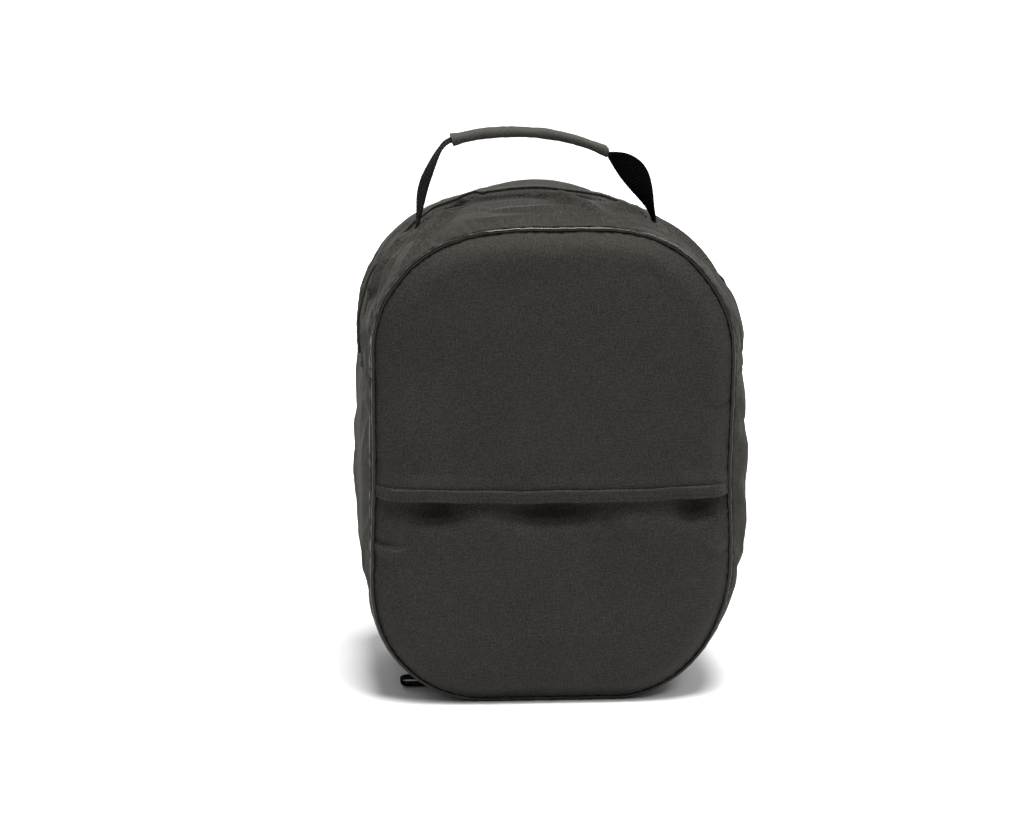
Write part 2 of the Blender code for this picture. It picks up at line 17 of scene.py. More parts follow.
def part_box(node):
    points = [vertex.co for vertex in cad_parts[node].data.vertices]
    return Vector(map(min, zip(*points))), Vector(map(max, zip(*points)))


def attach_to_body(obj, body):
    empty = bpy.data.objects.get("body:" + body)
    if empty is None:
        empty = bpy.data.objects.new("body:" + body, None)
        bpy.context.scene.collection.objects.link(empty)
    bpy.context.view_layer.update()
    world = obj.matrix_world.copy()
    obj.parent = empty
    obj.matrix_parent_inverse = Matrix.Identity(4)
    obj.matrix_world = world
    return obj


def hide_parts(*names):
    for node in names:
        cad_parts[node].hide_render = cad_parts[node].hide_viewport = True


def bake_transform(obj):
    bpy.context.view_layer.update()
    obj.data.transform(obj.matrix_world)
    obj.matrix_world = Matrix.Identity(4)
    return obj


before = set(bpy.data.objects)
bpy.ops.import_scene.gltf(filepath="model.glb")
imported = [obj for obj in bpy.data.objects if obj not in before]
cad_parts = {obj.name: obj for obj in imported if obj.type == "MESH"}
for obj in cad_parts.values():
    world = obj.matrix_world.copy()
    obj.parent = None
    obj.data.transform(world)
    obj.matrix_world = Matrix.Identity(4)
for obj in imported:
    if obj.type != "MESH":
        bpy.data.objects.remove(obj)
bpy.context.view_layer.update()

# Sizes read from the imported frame
REAR_LOW, REAR_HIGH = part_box("rear_panel")
FRONT_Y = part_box("lid_panel")[0].y
REAR_Y = REAR_HIGH.y
DEPTH = REAR_Y - FRONT_Y
GAP = 0.0003  # between neighbouring parts of the CAD
FLOOR_GAP = 0.0001
SEAM_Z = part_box("lid_panel")[0].z - GAP
HEM_LOW_Z, HEM_TOP_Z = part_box("pocket_flap")[0].z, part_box("pocket_flap")[1].z
TAB_TOP_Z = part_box("zip_end_tab_right")[1].z

# The outline, as in the CAD
PANEL_INSET = 0.0023
HALF = REAR_HIGH.x + PANEL_INSET
TOP_Z = REAR_HIGH.z + PANEL_INSET
LIFT = REAR_LOW.z - PANEL_INSET
SHOULDER_R = 0.088
SHOULDER_DROP = math.radians(20)
BOTTOM_RX = 0.085
BOTTOM_RZ = 0.103
SHOULDER_X = HALF - SHOULDER_R
TOP_R = SHOULDER_X / math.sin(SHOULDER_DROP) + SHOULDER_R
SHOULDER_Z = TOP_Z - TOP_R + (TOP_R - SHOULDER_R) * math.cos(SHOULDER_DROP)
TOP_CENTRE_Z = TOP_Z - TOP_R
EDGE = 0.0018  # the gusset's outer face beyond the outline
CAD_SWELL = 0.0060
SLIT_Y = -0.004
FRONT_FLAP_Y = -0.030
REAR_FLAP_Y = 0.014
FLAPS_MEET_Y = SLIT_Y + 0.0001
FLAP_PARTING = 0.0008  # how far each zip flap draws back where the slider runs

# Cloth that crosses a joint: the body it turns with, and the heights between which it turns
BENDS = {
    "lid_cloth": ("lid", TAB_TOP_Z, TAB_TOP_Z + 0.050),
    "hem": ("flap", HEM_TOP_Z, HEM_TOP_Z - 0.008),
}

# How the soft shape differs from the plain outline, at even steps round it
SWELL = (6.2, 7.6, 14.5, 19.0, 9.8, 0.5, 10.0, 7.0, 1.0, 5.4, 1.8, 5.4)
SLUMP = (0, 0, 0.7, 0.8, -1.8, -1.1, -2.3, 1.9, -3.6, 0.3, -1.5, -3.0, -3.8, -2.6, 1.5, 0.1)
SWELL_POWER = 3.4
MM = 0.001

CLOTH_FRAMES = 18
CLOTH_SETTINGS = {
    "vertex_group_mass": "held",
    "quality": 6,
    "mass": 0.15,
    "tension_stiffness": 25,
    "compression_stiffness": 25,
    "shear_stiffness": 12,
    "bending_stiffness": 0.6,
    "use_pressure": True,
}


# Outline


def outline_half():
    """The right half from the middle of the base to the middle of the top: x, z and the outward normal."""
    points = [(x, LIFT, 0.0, -1.0) for x in np.linspace(0, HALF - BOTTOM_RX, 60)[:-1]]
    for angle in np.radians(np.linspace(-90, 0, 260)):
        normal = np.array([math.cos(angle) / BOTTOM_RX, math.sin(angle) / BOTTOM_RZ])
        normal /= np.linalg.norm(normal)
        x = HALF - BOTTOM_RX + BOTTOM_RX * math.cos(angle)
        points.append((x, LIFT + BOTTOM_RZ + BOTTOM_RZ * math.sin(angle), *normal))
    points += [(HALF, z, 1.0, 0.0) for z in np.linspace(LIFT + BOTTOM_RZ, SHOULDER_Z, 160)[1:-1]]
    top_start = math.pi / 2 - SHOULDER_DROP
    arcs = (
        ((SHOULDER_X, SHOULDER_Z), SHOULDER_R, np.linspace(0, top_start, 240)),
        ((0, TOP_CENTRE_Z), TOP_R, np.linspace(top_start, math.pi / 2, 120)[1:]),
    )
    for centre, radius, angles in arcs:
        for angle in angles:
            across, up = math.cos(angle), math.sin(angle)
            points.append((centre[0] + radius * across, centre[1] + radius * up, across, up))
    return np.array(points)


def along_path(path, closed=False):
    """The unit direction at each point of a path, and the distance from its start."""
    ahead = np.gradient(path, axis=0)
    if closed:
        ahead = np.roll(path, -1, axis=0) - np.roll(path, 1, axis=0)
    steps = np.linalg.norm(np.diff(path, axis=0), axis=1)
    ahead = ahead / np.linalg.norm(ahead, axis=1, keepdims=True)
    return ahead, np.concatenate([[0], np.cumsum(steps)])


def whole_outline():
    right = outline_half()
    points = np.vstack([right, right[::-1][1:] * np.array([-1, 1, -1, 1])])
    return along_path(points[:, :2])[1], points


OUTLINE_U, OUTLINE = whole_outline()
AROUND = OUTLINE_U[-1]


def outline_at(u):
    """x, z, normal x and normal z at each distance u round the outline."""
    u = np.mod(u, AROUND)
    return [np.interp(u, OUTLINE_U, OUTLINE[:, k]) for k in range(4)]


def u_at_height(z):
    """The distance round the outline to height z on the right side."""
    right = OUTLINE_U < AROUND / 2
    return float(np.interp(z, OUTLINE[right, 1], OUTLINE_U[right]))


def round_values(u, values):
    """Smooth values given at even steps round the outline, in millimetres."""
    values = np.array(values) * MM
    place = np.mod(u, AROUND) / AROUND * len(values)
    first = np.floor(place).astype(int)
    share = place - first
    share = share * share * (3 - 2 * share)
    return values[first % len(values)] * (1 - share) + values[(first + 1) % len(values)] * share


def bump(distance, width):
    return np.exp(-((distance / width) ** 2))


def smooth_step(low, high, value):
    share = np.clip((value - low) / (high - low), 0, 1)
    return share * share * (3 - 2 * share)


# Meshes


def mesh_object(name, points, faces, materials, uvs=None, face_slots=None, angle=50):
    """An object from arrays. uvs holds one (along, across) pair in metres for each point."""
    mesh = bpy.data.meshes.new(name)
    mesh.from_pydata([tuple(p) for p in points], [], [tuple(map(int, f)) for f in faces])
    for made in materials:
        mesh.materials.append(made)
    if face_slots is not None:
        mesh.polygons.foreach_set("material_index", np.array(face_slots, np.int32))
    if uvs is not None:
        corners = np.zeros(len(mesh.loops), np.int32)
        mesh.loops.foreach_get("vertex_index", corners)
        layer = mesh.uv_layers.new(name="cloth")
        layer.data.foreach_set("uv", np.asarray(uvs, np.float32)[corners].ravel())
    maker = bmesh.new()
    maker.from_mesh(mesh)
    bmesh.ops.recalc_face_normals(maker, faces=maker.faces)
    maker.to_mesh(mesh)
    maker.free()
    mesh.shade_smooth()
    mesh.set_sharp_from_angle(angle=math.radians(angle))
    mesh.validate()
    obj = bpy.data.objects.new(name, mesh)
    bpy.context.scene.collection.objects.link(obj)
    return obj


def grid_faces(rows, columns, start=0, closed_rows=False, closed_columns=False, flip=False):
    """Quads over points laid out row by row."""
    faces = []
    for i in range(rows if closed_rows else rows - 1):
        for j in range(columns if closed_columns else columns - 1):
            below, above = start + i * columns, start + (i + 1) % rows * columns
            after = (j + 1) % columns
            face = (below + j, below + after, above + after, above + j)
            faces.append(face[::-1] if flip else face)
    return faces


def two_layers(name, outer, inner, u, y, materials):
    """A thin closed piece between two grids of points. Its last material is on the inner face."""
    rows, columns = u.shape
    size = rows * columns
    rim = [i * columns for i in range(rows)]
    rim += [(rows - 1) * columns + j for j in range(1, columns)]
    rim += [i * columns + columns - 1 for i in range(rows - 2, -1, -1)]
    rim += [j for j in range(columns - 2, 0, -1)]
    faces = grid_faces(rows, columns) + grid_faces(rows, columns, size, flip=True)
    cells = len(faces) // 2
    faces += [(a, b, b + size, a + size) for a, b in zip(rim, rim[1:] + rim[:1])]
    slots = [0] * cells + [len(materials) - 1] * cells + [0] * len(rim)
    points = np.vstack([outer.reshape(-1, 3), inner.reshape(-1, 3)])
    uvs = np.tile(np.stack([u.ravel(), y.ravel()], axis=1), (2, 1))
    return mesh_object(name, points, faces, materials, uvs, slots)


def skin(lines, uvs, closed=False):
    """Points, faces and cloth places of a tube, from the lines that run along its sides."""
    rows, sides = len(lines[0]), len(lines)
    faces = grid_faces(rows, sides, closed_rows=closed, closed_columns=True)
    if not closed:
        faces += [tuple(reversed(range(sides))), tuple(range((rows - 1) * sides, rows * sides))]
    return np.stack(lines, axis=1).reshape(-1, 3), faces, np.stack(uvs, axis=1).reshape(-1, 2)


def attach(piece, nodes, body):
    """Hides the CAD nodes that a piece stands for, and parents the piece to its body; a piece on a bend
    keeps its place, with its transform baked in.
    """
    if nodes:
        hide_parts(*nodes)
    if body in BENDS:
        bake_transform(piece)
    else:
        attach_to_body(piece, body)


def relaxed(points, faces, pinned, grow, pressure, cap):
    """How cloth with its edges held moves as it settles, when it is cut a little too large."""
    scene = bpy.context.scene
    mesh = bpy.data.meshes.new("cloth_trial")
    mesh.from_pydata([tuple(p) for p in points], [], [tuple(map(int, f)) for f in faces])
    trial = bpy.data.objects.new("cloth_trial", mesh)
    scene.collection.objects.link(trial)
    held = trial.vertex_groups.new(name="held")
    held.add([int(i) for i in np.flatnonzero(pinned)], 1.0, "REPLACE")
    cloth = trial.modifiers.new("cloth", "CLOTH")
    for key, value in CLOTH_SETTINGS.items():
        setattr(cloth.settings, key, value)
    cloth.settings.shrink_min = -grow
    cloth.settings.uniform_pressure_force = pressure
    cloth.settings.effector_weights.gravity = 0
    cloth.point_cache.frame_start, cloth.point_cache.frame_end = 1, CLOTH_FRAMES
    for number in range(1, CLOTH_FRAMES + 1):
        scene.frame_set(number)
    settled = trial.evaluated_get(bpy.context.evaluated_depsgraph_get()).to_mesh()
    moved = np.zeros(len(points) * 3, np.float32)
    settled.vertices.foreach_get("co", moved)
    shift = moved.reshape(-1, 3).astype(float) - points
    bpy.data.objects.remove(trial)
    scene.frame_set(1)
    far = np.linalg.norm(shift, axis=1, keepdims=True)
    return shift * np.minimum(1.0, cap / np.maximum(far, 1e-9))


# Folds and creases, drawn as lines on the cloth


def line_distance(x, y, line):
    """From each point to a line: the distance, its sign telling the side, and the share along it."""
    best, side, along = np.full(np.shape(x), np.inf), np.zeros(np.shape(x)), np.zeros(np.shape(x))
    for k, ((ax, ay), (bx, by)) in enumerate(zip(line, line[1:])):
        dx, dy = bx - ax, by - ay
        share = np.clip(((x - ax) * dx + (y - ay) * dy) / (dx * dx + dy * dy), 0, 1)
        away = np.hypot(x - ax - share * dx, y - ay - share * dy)
        nearer = away < best
        best = np.where(nearer, away, best)
        side = np.where(nearer, np.sign(dx * (y - ay) - dy * (x - ax)), side)
        along = np.where(nearer, (k + share) / (len(line) - 1), along)
    return best * np.where(side == 0, 1, side), along


def folds(x, y, strokes):
    """The height of all strokes, each a line with its height and its width on the left and right."""
    total = np.zeros(np.shape(x))
    for line, height, left, right in strokes:
        away, along = line_distance(x, y, [(a * MM, b * MM) for a, b in line])
        fade = np.sin(np.pi * np.clip(along, 0.03, 0.97)) ** 0.6
        total = total + height * MM * fade * bump(away, np.where(away > 0, left, right) * MM)
    return total


def ripples(value, lengths, seed):
    """A sum of waves of the given lengths in mm, with seeded phases, from -1 to 1."""
    phases = np.random.default_rng(seed).uniform(0, 2 * math.pi, len(lengths))
    waves = [np.sin(2 * math.pi * value / (length * MM) + p) for length, p in zip(lengths, phases)]
    return sum(waves) / len(lengths)


# Gusset

SEAM_U = u_at_height(SEAM_Z)
TAB_U = u_at_height(TAB_TOP_Z)
SLIDER_U = u_at_height(0.262)
TRACK_END_U = 0.460  # where the slider's path ends
GUSSET_EDGE_Y = 0.0012  # how far the gusset's edges tuck in behind the panels' seam lines
# Folds on the gusset: a line of (u, y), its height, and its width on the left and right, all in mm
GUSSET_FOLDS = (
    (((668, -71), (655, -66), (640, -52), (622, -32), (606, -16)), 4.1, 3, 7),
    (((716, -14), (694, -30), (672, -28), (655, -18), (640, 0)), 3.2, 3, 7),
    (((632, -22), (612, -8), (598, 10), (590, 34)), 3.2, 4, 9),
    (((705, -16), (692, -36), (673, -29), (658, -19), (645, 4)), 4, 3.2, 4.7),
    (((665, -69), (652, -66), (635, -48), (622, -30), (612, -18)), 4.3, 3.2, 4.7),
    (((641, -36), (632, -27), (622, -19), (612, -13)), 4, 3.2, 5.1),
    (((650, -58), (634, -38), (620, -22), (606, -10)), -3, 1.6, 1.6),
    (((684, -60), (676, -48), (660, -40)), 3.8, 3.2, 4.3),
    (((700, -66), (688, -52), (674, -44)), 3.2, 3.2, 4.3),
    (((507, -44), (491, -29), (475, -4), (456, 30)), 3.8, 3.3, 5.1),
    (((556, -12), (539, -33), (526, -45), (510, -54)), 4, 3.3, 4.9),
    (((590, -44), (566, -50), (540, -50), (516, -46)), 3.2, 3.5, 5.3),
    (((604, -60), (580, -62), (556, -60)), 2.5, 3.5, 4.7),
    (((496, -66), (478, -56), (462, -38)), 3.4, 3.4, 4.9),
    (((470, -70), (452, -58), (436, -40)), 3.2, 3.4, 4.7),
    (((560, -12), (540, -30), (524, -44), (505, -56)), 3.8, 5, 10),
    (((518, -40), (500, -34), (482, -20), (470, -2)), 3.8, 4, 9),
    (((600, 24), (570, 40), (540, 46), (505, 42)), 4.6, 12, 14),
    (((540, -66), (527, -60), (519, -63)), -2.8, 4, 3.5),
    (((531, -70), (528, -62), (531, -54)), 2.5, 3.6, 4.1),
    (((516, -72), (512, -64), (508, -60)), 1.9, 3, 3),
    (((636, -50), (626, -40), (612, -36)), -2.2, 4, 4),
    (((664, -50), (670, -40), (664, -30), (655, -27), (650, -34), (654, -46)), 1.6, 3.3, 3.9),
    (((390, -74), (380, -60), (352, -48)), 1.8, 6, 9),
    (((330, -76), (318, -58), (300, -40)), 1.8, 6, 10),
    (((262, -77), (240, -60), (205, -52)), 2, 7, 12),
    (((300, 74), (280, 52), (250, 40), (215, 44)), 2.4, 9, 14),
    (((400, 72), (380, 50), (352, 30)), 2.1, 8, 12),
    (((180, 70), (170, 40), (172, 0), (182, -30)), -2.4, 12, 12),
    (((770, -74), (790, -56), (830, -48), (872, -52)), 1.8, 7, 12),
    (((800, 74), (820, 50), (862, 36), (900, 40)), 2.4, 10, 14),
    (((690, 74), (712, 56), (742, 40)), 2.4, 7, 10),
    (((910, -70), (918, -30), (912, 10), (920, 60)), -2.7, 12, 14),
)


def at_slider(u, y):
    """1 where the zip slider parks and runs, so that the cloth keeps the CAD's height there."""
    u = np.mod(u, AROUND)
    parked = bump(u - SLIDER_U, 0.026) * bump(y - SLIT_Y, 0.016)
    track = smooth_step(SLIDER_U - 0.02, SLIDER_U + 0.02, u)
    track = track * (1 - smooth_step(TRACK_END_U, TRACK_END_U + 0.022, u))
    return np.maximum(parked, track * bump(y - SLIT_Y, 0.013))


def gusset_offset(u, y, normal_z):
    """How far out the gusset's face lies beyond the outline."""
    u = np.mod(u, AROUND)
    profile = 1 - np.abs(2 * y / DEPTH) ** SWELL_POWER
    near_slider = at_slider(u, y)
    swell = round_values(u, SWELL) * (1 - near_slider) + CAD_SWELL * near_slider
    off_ground = 1 + np.minimum(0, normal_z)
    slump = round_values(u, SLUMP) * (0.5 - y / DEPTH) * (1 - near_slider)
    edge_gap = DEPTH / 2 - np.abs(y)
    by_seam = np.exp(-edge_gap / 0.010) * (1 - np.exp(-edge_gap / 0.002))
    where = 0.55 + 0.45 * ripples(u, (97, 61), 5)
    pucker = np.where(y < 0, ripples(u, (13, 8.3, 19), 11), ripples(u, (12, 9.1, 21), 12))
    drawn = folds(u, y, GUSSET_FOLDS) * (1 - 0.8 * near_slider)
    loose = (0.0011 * pucker * where * by_seam + drawn * profile) * off_ground
    return EDGE + slump + swell * profile * off_ground + loose


def plain_gusset(u, y):
    """Points of the gusset's face, and its outward direction, before the cloth settles."""
    x, z, normal_x, normal_z = outline_at(u)
    out = gusset_offset(u, y, normal_z)
    normals = np.stack([normal_x, np.zeros_like(normal_x), normal_z], axis=-1)
    return np.stack([x + normal_x * out, y + 0 * x, z + normal_z * out], axis=-1), normals


SIM_ROUND, SIM_ACROSS = 300, 43


def settle_gusset():
    """How the whole gusset moves when it settles between its two seams, without its slow drift."""
    u = np.linspace(0, AROUND, SIM_ROUND, endpoint=False)
    y = np.linspace(FRONT_Y + GUSSET_EDGE_Y, REAR_Y - GUSSET_EDGE_Y, SIM_ACROSS)
    u, y = np.meshgrid(u, y, indexing="ij")
    column = np.tile(np.arange(SIM_ACROSS), SIM_ROUND)
    pinned = (column == 0) | (column == SIM_ACROSS - 1)
    faces = grid_faces(SIM_ROUND, SIM_ACROSS, closed_rows=True)
    points = plain_gusset(u.ravel(), y.ravel())[0]
    shift = relaxed(points, faces, pinned, 0.016, 0.8, 0.007).reshape(SIM_ROUND, SIM_ACROSS, 3)
    slow = shift
    for _ in range(2):
        slow = sum(np.roll(slow, k, axis=0) for k in range(-9, 10)) / 19
    return 1.2 * (shift - slow)


GUSSET_SHIFT = settle_gusset()


def gusset_shift(u, y):
    """The settled move at (u, y), from the nearest points of the trial."""
    row = np.mod(u, AROUND) / AROUND * SIM_ROUND
    width = DEPTH - 2 * GUSSET_EDGE_Y
    column = np.clip((y - FRONT_Y - GUSSET_EDGE_Y) / width, 0, 1) * (SIM_ACROSS - 1)
    i, j = np.floor(row).astype(int), np.minimum(np.floor(column).astype(int), SIM_ACROSS - 2)
    a, b = (row - i)[..., None], (column - j)[..., None]
    i, after = i % SIM_ROUND, (i + 1) % SIM_ROUND
    first = GUSSET_SHIFT[i, j] * (1 - b) + GUSSET_SHIFT[i, j + 1] * b
    second = GUSSET_SHIFT[after, j] * (1 - b) + GUSSET_SHIFT[after, j + 1] * b
    return first * (1 - a) + second * a


def gusset_face(u, y):
    """Points of the settled gusset and its outward direction."""
    points, normals = plain_gusset(u, y)
    off_ground = 1 + np.minimum(0, normals[..., 2])
    points = points + gusset_shift(u, y) * ((1 - at_slider(u, y)) * off_ground)[..., None]
    points[..., 2] = np.maximum(points[..., 2], 0.0001)
    return points, normals


def gusset_patch(
    name, u_values, y_from, y_to, materials, step, lift=None, thick=0.0012, rolls=(), climb=()
):
    """A strip of gusset cloth with an inner face. The two zip flaps part where the slider runs.

    rolls names the edges that are folded, out of from, to, start and end. An edge in climb lies over
    its neighbour. lift is a height over the gusset's face for each depth.
    """
    run = smooth_step(SLIDER_U - 0.012, SLIDER_U, u_values)
    parted = FLAP_PARTING * run * (1 - smooth_step(TRACK_END_U, TRACK_END_U + 0.014, u_values))
    y_from = y_from + parted * (y_from == FLAPS_MEET_Y)
    y_to = y_to - parted * (y_to == FLAPS_MEET_Y)
    width = float(np.abs(y_to - y_from).max())
    fine = np.array([0.0008, 0.0018, 0.0030]) / width
    share = np.linspace(0, 1, max(4, int(width / step)) + 1)
    u, s = np.meshgrid(u_values, np.unique(np.concatenate([share, fine, 1 - fine])), indexing="ij")
    y = y_from[:, None] + (y_to - y_from)[:, None] * s
    points, normals = gusset_face(u, y)
    gaps = {"from": s * width, "to": (1 - s) * width}
    gaps.update({"start": u - u_values[0], "end": u_values[-1] - u})
    raised, level = 0 * s, 0 * s
    for roll in rolls:
        raised = np.maximum(raised, 0.0007 * bump(gaps[roll] - 0.0012, 0.0024))
    for edge in climb:
        level = np.maximum(level, 0.0014 * (1 - smooth_step(0.004, 0.013, gaps[edge])))
    if lift is not None:
        level = level + lift(y)
    rounded = -0.25 * thick * np.exp(-np.minimum(gaps["from"], gaps["to"]) / 0.0005)
    outer = points + normals * (level + raised + rounded)[..., None]
    inner = points + normals * (level - thick - 0.3 * raised - rounded)[..., None]
    outer[..., 2] = np.maximum(outer[..., 2], FLOOR_GAP)
    inner[..., 2] = np.maximum(inner[..., 2], 4 * FLOOR_GAP)
    return two_layers(name, outer, inner, u, y, materials)


# Materials


class Nodes:
    """Short ways to add nodes to one material."""

    def __init__(self, name):
        self.material = bpy.data.materials.new(name)
        self.material.use_nodes = True
        self.tree = self.material.node_tree
        self.shader = self.tree.nodes["Principled BSDF"]
        self.cloth = self.add("UVMap", uv_map="cloth").outputs["UV"]
        self.body = self.add("TexCoord").outputs["Object"]

    def add(self, kind, inputs=(), **settings):
        node = self.tree.nodes.new("ShaderNode" + kind)
        for key, value in settings.items():
            setattr(node, key, value)
        for key, value in dict(inputs).items():
            self.put(node.inputs[key], value)
        return node

    def put(self, socket, value):
        if isinstance(value, bpy.types.NodeSocket):
            self.tree.links.new(value, socket)
        else:
            socket.default_value = value

    def math(self, operation, first, second=0.0):
        return self.add("Math", {0: first, 1: second}, operation=operation).outputs[0]

    def plus(self, first, second, times=1.0):
        """first + second * times"""
        inputs = {0: second, 1: times, 2: first}
        return self.add("Math", inputs, operation="MULTIPLY_ADD").outputs[0]

    def wave(self, value, length):
        return self.math("SINE", self.math("MULTIPLY", value, 2 * math.pi / length))

    def noise(self, vector, scale, detail=2.0, roughness=0.5):
        """Noise of one scale, or of two where it differs along and across the cloth."""
        if isinstance(scale, tuple):
            vector = self.add("Mapping", {"Vector": vector, "Scale": (*scale, 1.0)}).outputs[0]
            scale = 1.0
        inputs = {"Vector": vector, "Scale": scale, "Detail": detail, "Roughness": roughness}
        return self.add("TexNoise", inputs).outputs["Fac"]

    def span(self, value, low, high, to_low=0.0, to_high=1.0):
        inputs = {"Value": value, 1: low, 2: high, 3: to_low, 4: to_high}
        return self.add("MapRange", inputs).outputs[0]

    def shades(self, value, colour, dark, light, middle=False):
        """From a darker to a lighter shade of a colour, by way of the colour itself if middle."""
        node = self.add("ValToRGB", {"Fac": value})
        stops = node.color_ramp.elements
        for k, share in enumerate((dark, light, 1.0) if middle else (dark, light)):
            stop = stops[k] if k < 2 else stops.new(0.5)
            stop.position = (0.0, 1.0, 0.5)[k]
            stop.color = (*np.minimum(1.0, np.multiply(colour, share)), 1)
        return node.outputs["Color"]

    def bump(self, height, strength, distance, **below):
        inputs = {"Height": height, "Strength": strength, "Distance": distance, **below}
        return self.add("Bump", inputs).outputs[0]

    def finish(self, colours, rough, normal=None, **fixed):
        links = {"Base Color": colours, "Roughness": rough, **fixed}
        if normal is not None:
            links["Normal"] = normal
        for key, value in links.items():
            self.put(self.shader.inputs[key.replace("_", " ")], value)
        return self.material


def woven(name, colour, thread, depth, roughness, sheen, slub, mottle, specular=0.2):
    """Plain-woven cloth: threads over and under each other, uneven yarn and faint patches of wear."""
    n = Nodes(name)
    split = n.add("SeparateXYZ", {0: n.cloth})
    weave = n.math("MULTIPLY", n.wave(split.outputs[0], thread), n.wave(split.outputs[1], thread))
    yarn = n.plus(n.noise(n.cloth, (1900.0, 110.0), 2.0, 0.6), n.noise(n.cloth, (110.0, 1900.0), 2.0, 0.6))
    patches = n.noise(n.body, 16.0, 4.0, 0.6)
    specks = n.noise(n.cloth, (760.0, 760.0), 3.0, 0.8)
    tone = n.span(yarn, 0.6, 1.4, 0.5 - slub * 0.5, 0.5 + slub * 0.5)
    tone = n.plus(tone, n.span(specks, 0.25, 0.75, -mottle, mottle))
    tone = n.plus(tone, n.span(patches, 0.3, 0.7, -0.10, 0.10))
    height = n.plus(n.math("MULTIPLY", weave, 0.5), yarn, 0.9)
    fine = n.bump(height, 1.0, depth)
    return n.finish(
        n.shades(tone, colour, 0.42, 1.95, middle=True),
        n.span(specks, 0.3, 0.7, roughness - 0.06, roughness + 0.06),
        n.bump(n.noise(n.body, 75.0, 3.0, 0.55), 0.35, 0.0007, Normal=fine),
        Sheen_Weight=sheen,
        Sheen_Roughness=0.36,
        Sheen_Tint=(1.0, 0.95, 0.88, 1),
        Specular_IOR_Level=specular,
        Specular_Tint=(1.0, 0.88, 0.74, 1),
    )


def ribbed(name, colour, rib, depth, roughness):
    """Webbing: ribs across its length, each made of stitches side by side, with a fuzz of loose fibres."""
    n = Nodes(name)
    split = n.add("SeparateXYZ", {0: n.cloth})
    across = n.wave(split.outputs[1], rib * 0.75)
    along = n.math("MULTIPLY", split.outputs[0], 2 * math.pi / rib)
    ribs = n.math("SINE", n.plus(along, across, 0.9))
    fibres = n.noise(n.cloth, (2600.0, 900.0), 3.0, 0.7)
    height = n.plus(n.plus(ribs, across, 0.45), fibres, 0.8)
    # The colour follows the relief: rib crests are painted lighter and the grooves darker, a painted
    # highlight and shade; the fibre noise mixed in is the yarn's own unevenness.
    tone = n.plus(n.span(height, -1.2, 2.0), n.span(n.noise(n.cloth, 240.0), 0.3, 0.7, -0.12, 0.12))
    colours = n.shades(tone, colour, 0.35, 2.3, middle=True)
    rough = n.span(fibres, 0.2, 0.8, roughness - 0.08, roughness + 0.08)
    return n.finish(colours, rough, n.bump(height, 1.0, depth), Specular_IOR_Level=0.015)


def satin_cord(name, colour):
    """Piping cloth cut on the bias: smooth, with slanting fine ribs and soft dents."""
    n = Nodes(name)
    split = n.add("SeparateXYZ", {0: n.cloth})
    ribs = n.wave(n.plus(split.outputs[0], split.outputs[1]), 0.0009)
    dents = n.noise(n.cloth, (170.0, 60.0), 3.0, 0.6)
    return n.finish(
        # The colour follows the dents' noise, as the bump does: darker in the dents and lighter on the
        # swells between them, a painted shade and highlight.
        n.shades(n.span(dents, 0.3, 0.7), colour, 0.75, 1.35),
        n.span(dents, 0.3, 0.7, 0.24, 0.34),
        n.bump(n.plus(dents, ribs, 0.10), 0.3, 0.0004),
        Coat_Weight=0.24,
        Coat_Roughness=0.14,
        Specular_IOR_Level=0.12,
        Specular_Tint=(1.0, 0.92, 0.82, 1),
    )


def lacquered(name, colour, worn):
    """Dark lacquer on cast metal: fine pits, rubbed lighter where it is handled."""
    n = Nodes(name)
    pits = n.noise(n.body, 900.0, 3.0, 0.7)
    tone = n.span(n.noise(n.body, 160.0, 4.0, 0.65), 0.45, 0.72)
    coat = {"Coat_Weight": 0.3, "Coat_Roughness": 0.2}
    rough = n.span(pits, 0.3, 0.7, 0.26, 0.44)
    colours = n.shades(tone, colour, 1.0, np.divide(worn, colour))
    return n.finish(colours, rough, n.bump(pits, 0.35, 0.0002), Metallic=0.85, **coat)


def moulded(name, colour):
    """Nylon coil or board: a soft plastic shine with a little unevenness."""
    n = Nodes(name)
    grain = n.noise(n.body, 1400.0, 2.0, 0.6)
    colours = n.shades(n.span(grain, 0.3, 0.7), colour, 0.7, 1.4)
    rough = n.span(grain, 0.3, 0.7, 0.34, 0.5)
    return n.finish(colours, rough, n.bump(grain, 0.3, 0.0001), Specular_IOR_Level=0.5)


def plain_floor(name, colour):
    n = Nodes(name)
    tone = n.noise(n.body, 3.0, 2.0, 0.5)
    return n.finish(n.shades(tone, colour, 0.99, 1.0), 0.9, Specular_IOR_Level=0.1)


# SHELL, on the gusset, grip and foot patches, is about twice as light as PANEL on the front and rear
# panels. Part of that is painted light: the extra lightness stands in for the stronger light on the top
# band, and PANEL's darker colour for the shade on the front.
SHELL = woven("shell_cloth_woven", (0.0246, 0.0231, 0.0204), 0.00095, 0.00006, 0.80, 0.03, 0.7, 0.65, 0.04)
PANEL = woven("panel_cloth_woven", (0.0122, 0.0122, 0.0112), 0.00095, 0.00010, 0.66, 0.05, 1.1, 1.2)
LINING = woven("lining_cloth_woven", (0.058, 0.058, 0.060), 0.00060, 0.00004, 0.62, 0.10, 0.35, 0.10)
BINDING = woven("binding_tape_woven", (0.013, 0.013, 0.014), 0.00120, 0.00008, 0.78, 0.15, 0.4, 0.10)
ZIP_TAPE = woven("zip_tape_woven", (0.011, 0.011, 0.012), 0.00080, 0.00006, 0.74, 0.12, 0.4, 0.10)
THREAD = woven("sewing_thread", (0.013, 0.0125, 0.012), 0.00040, 0.00004, 0.70, 0.0, 0.3, 0.10, 0.06)
WEBBING = ribbed("webbing_ribbed", (0.0052, 0.0050, 0.0050), 0.00240, 0.00050, 0.80)
PIPING = satin_cord("piping_satin", (0.0060, 0.0055, 0.0048))
METAL = lacquered("zip_metal_lacquer", (0.018, 0.018, 0.019), (0.10, 0.10, 0.105))
COIL = moulded("zip_coil_nylon", (0.012, 0.012, 0.013))
BOARD = moulded("board_matte", (0.10, 0.10, 0.098))


# Panels

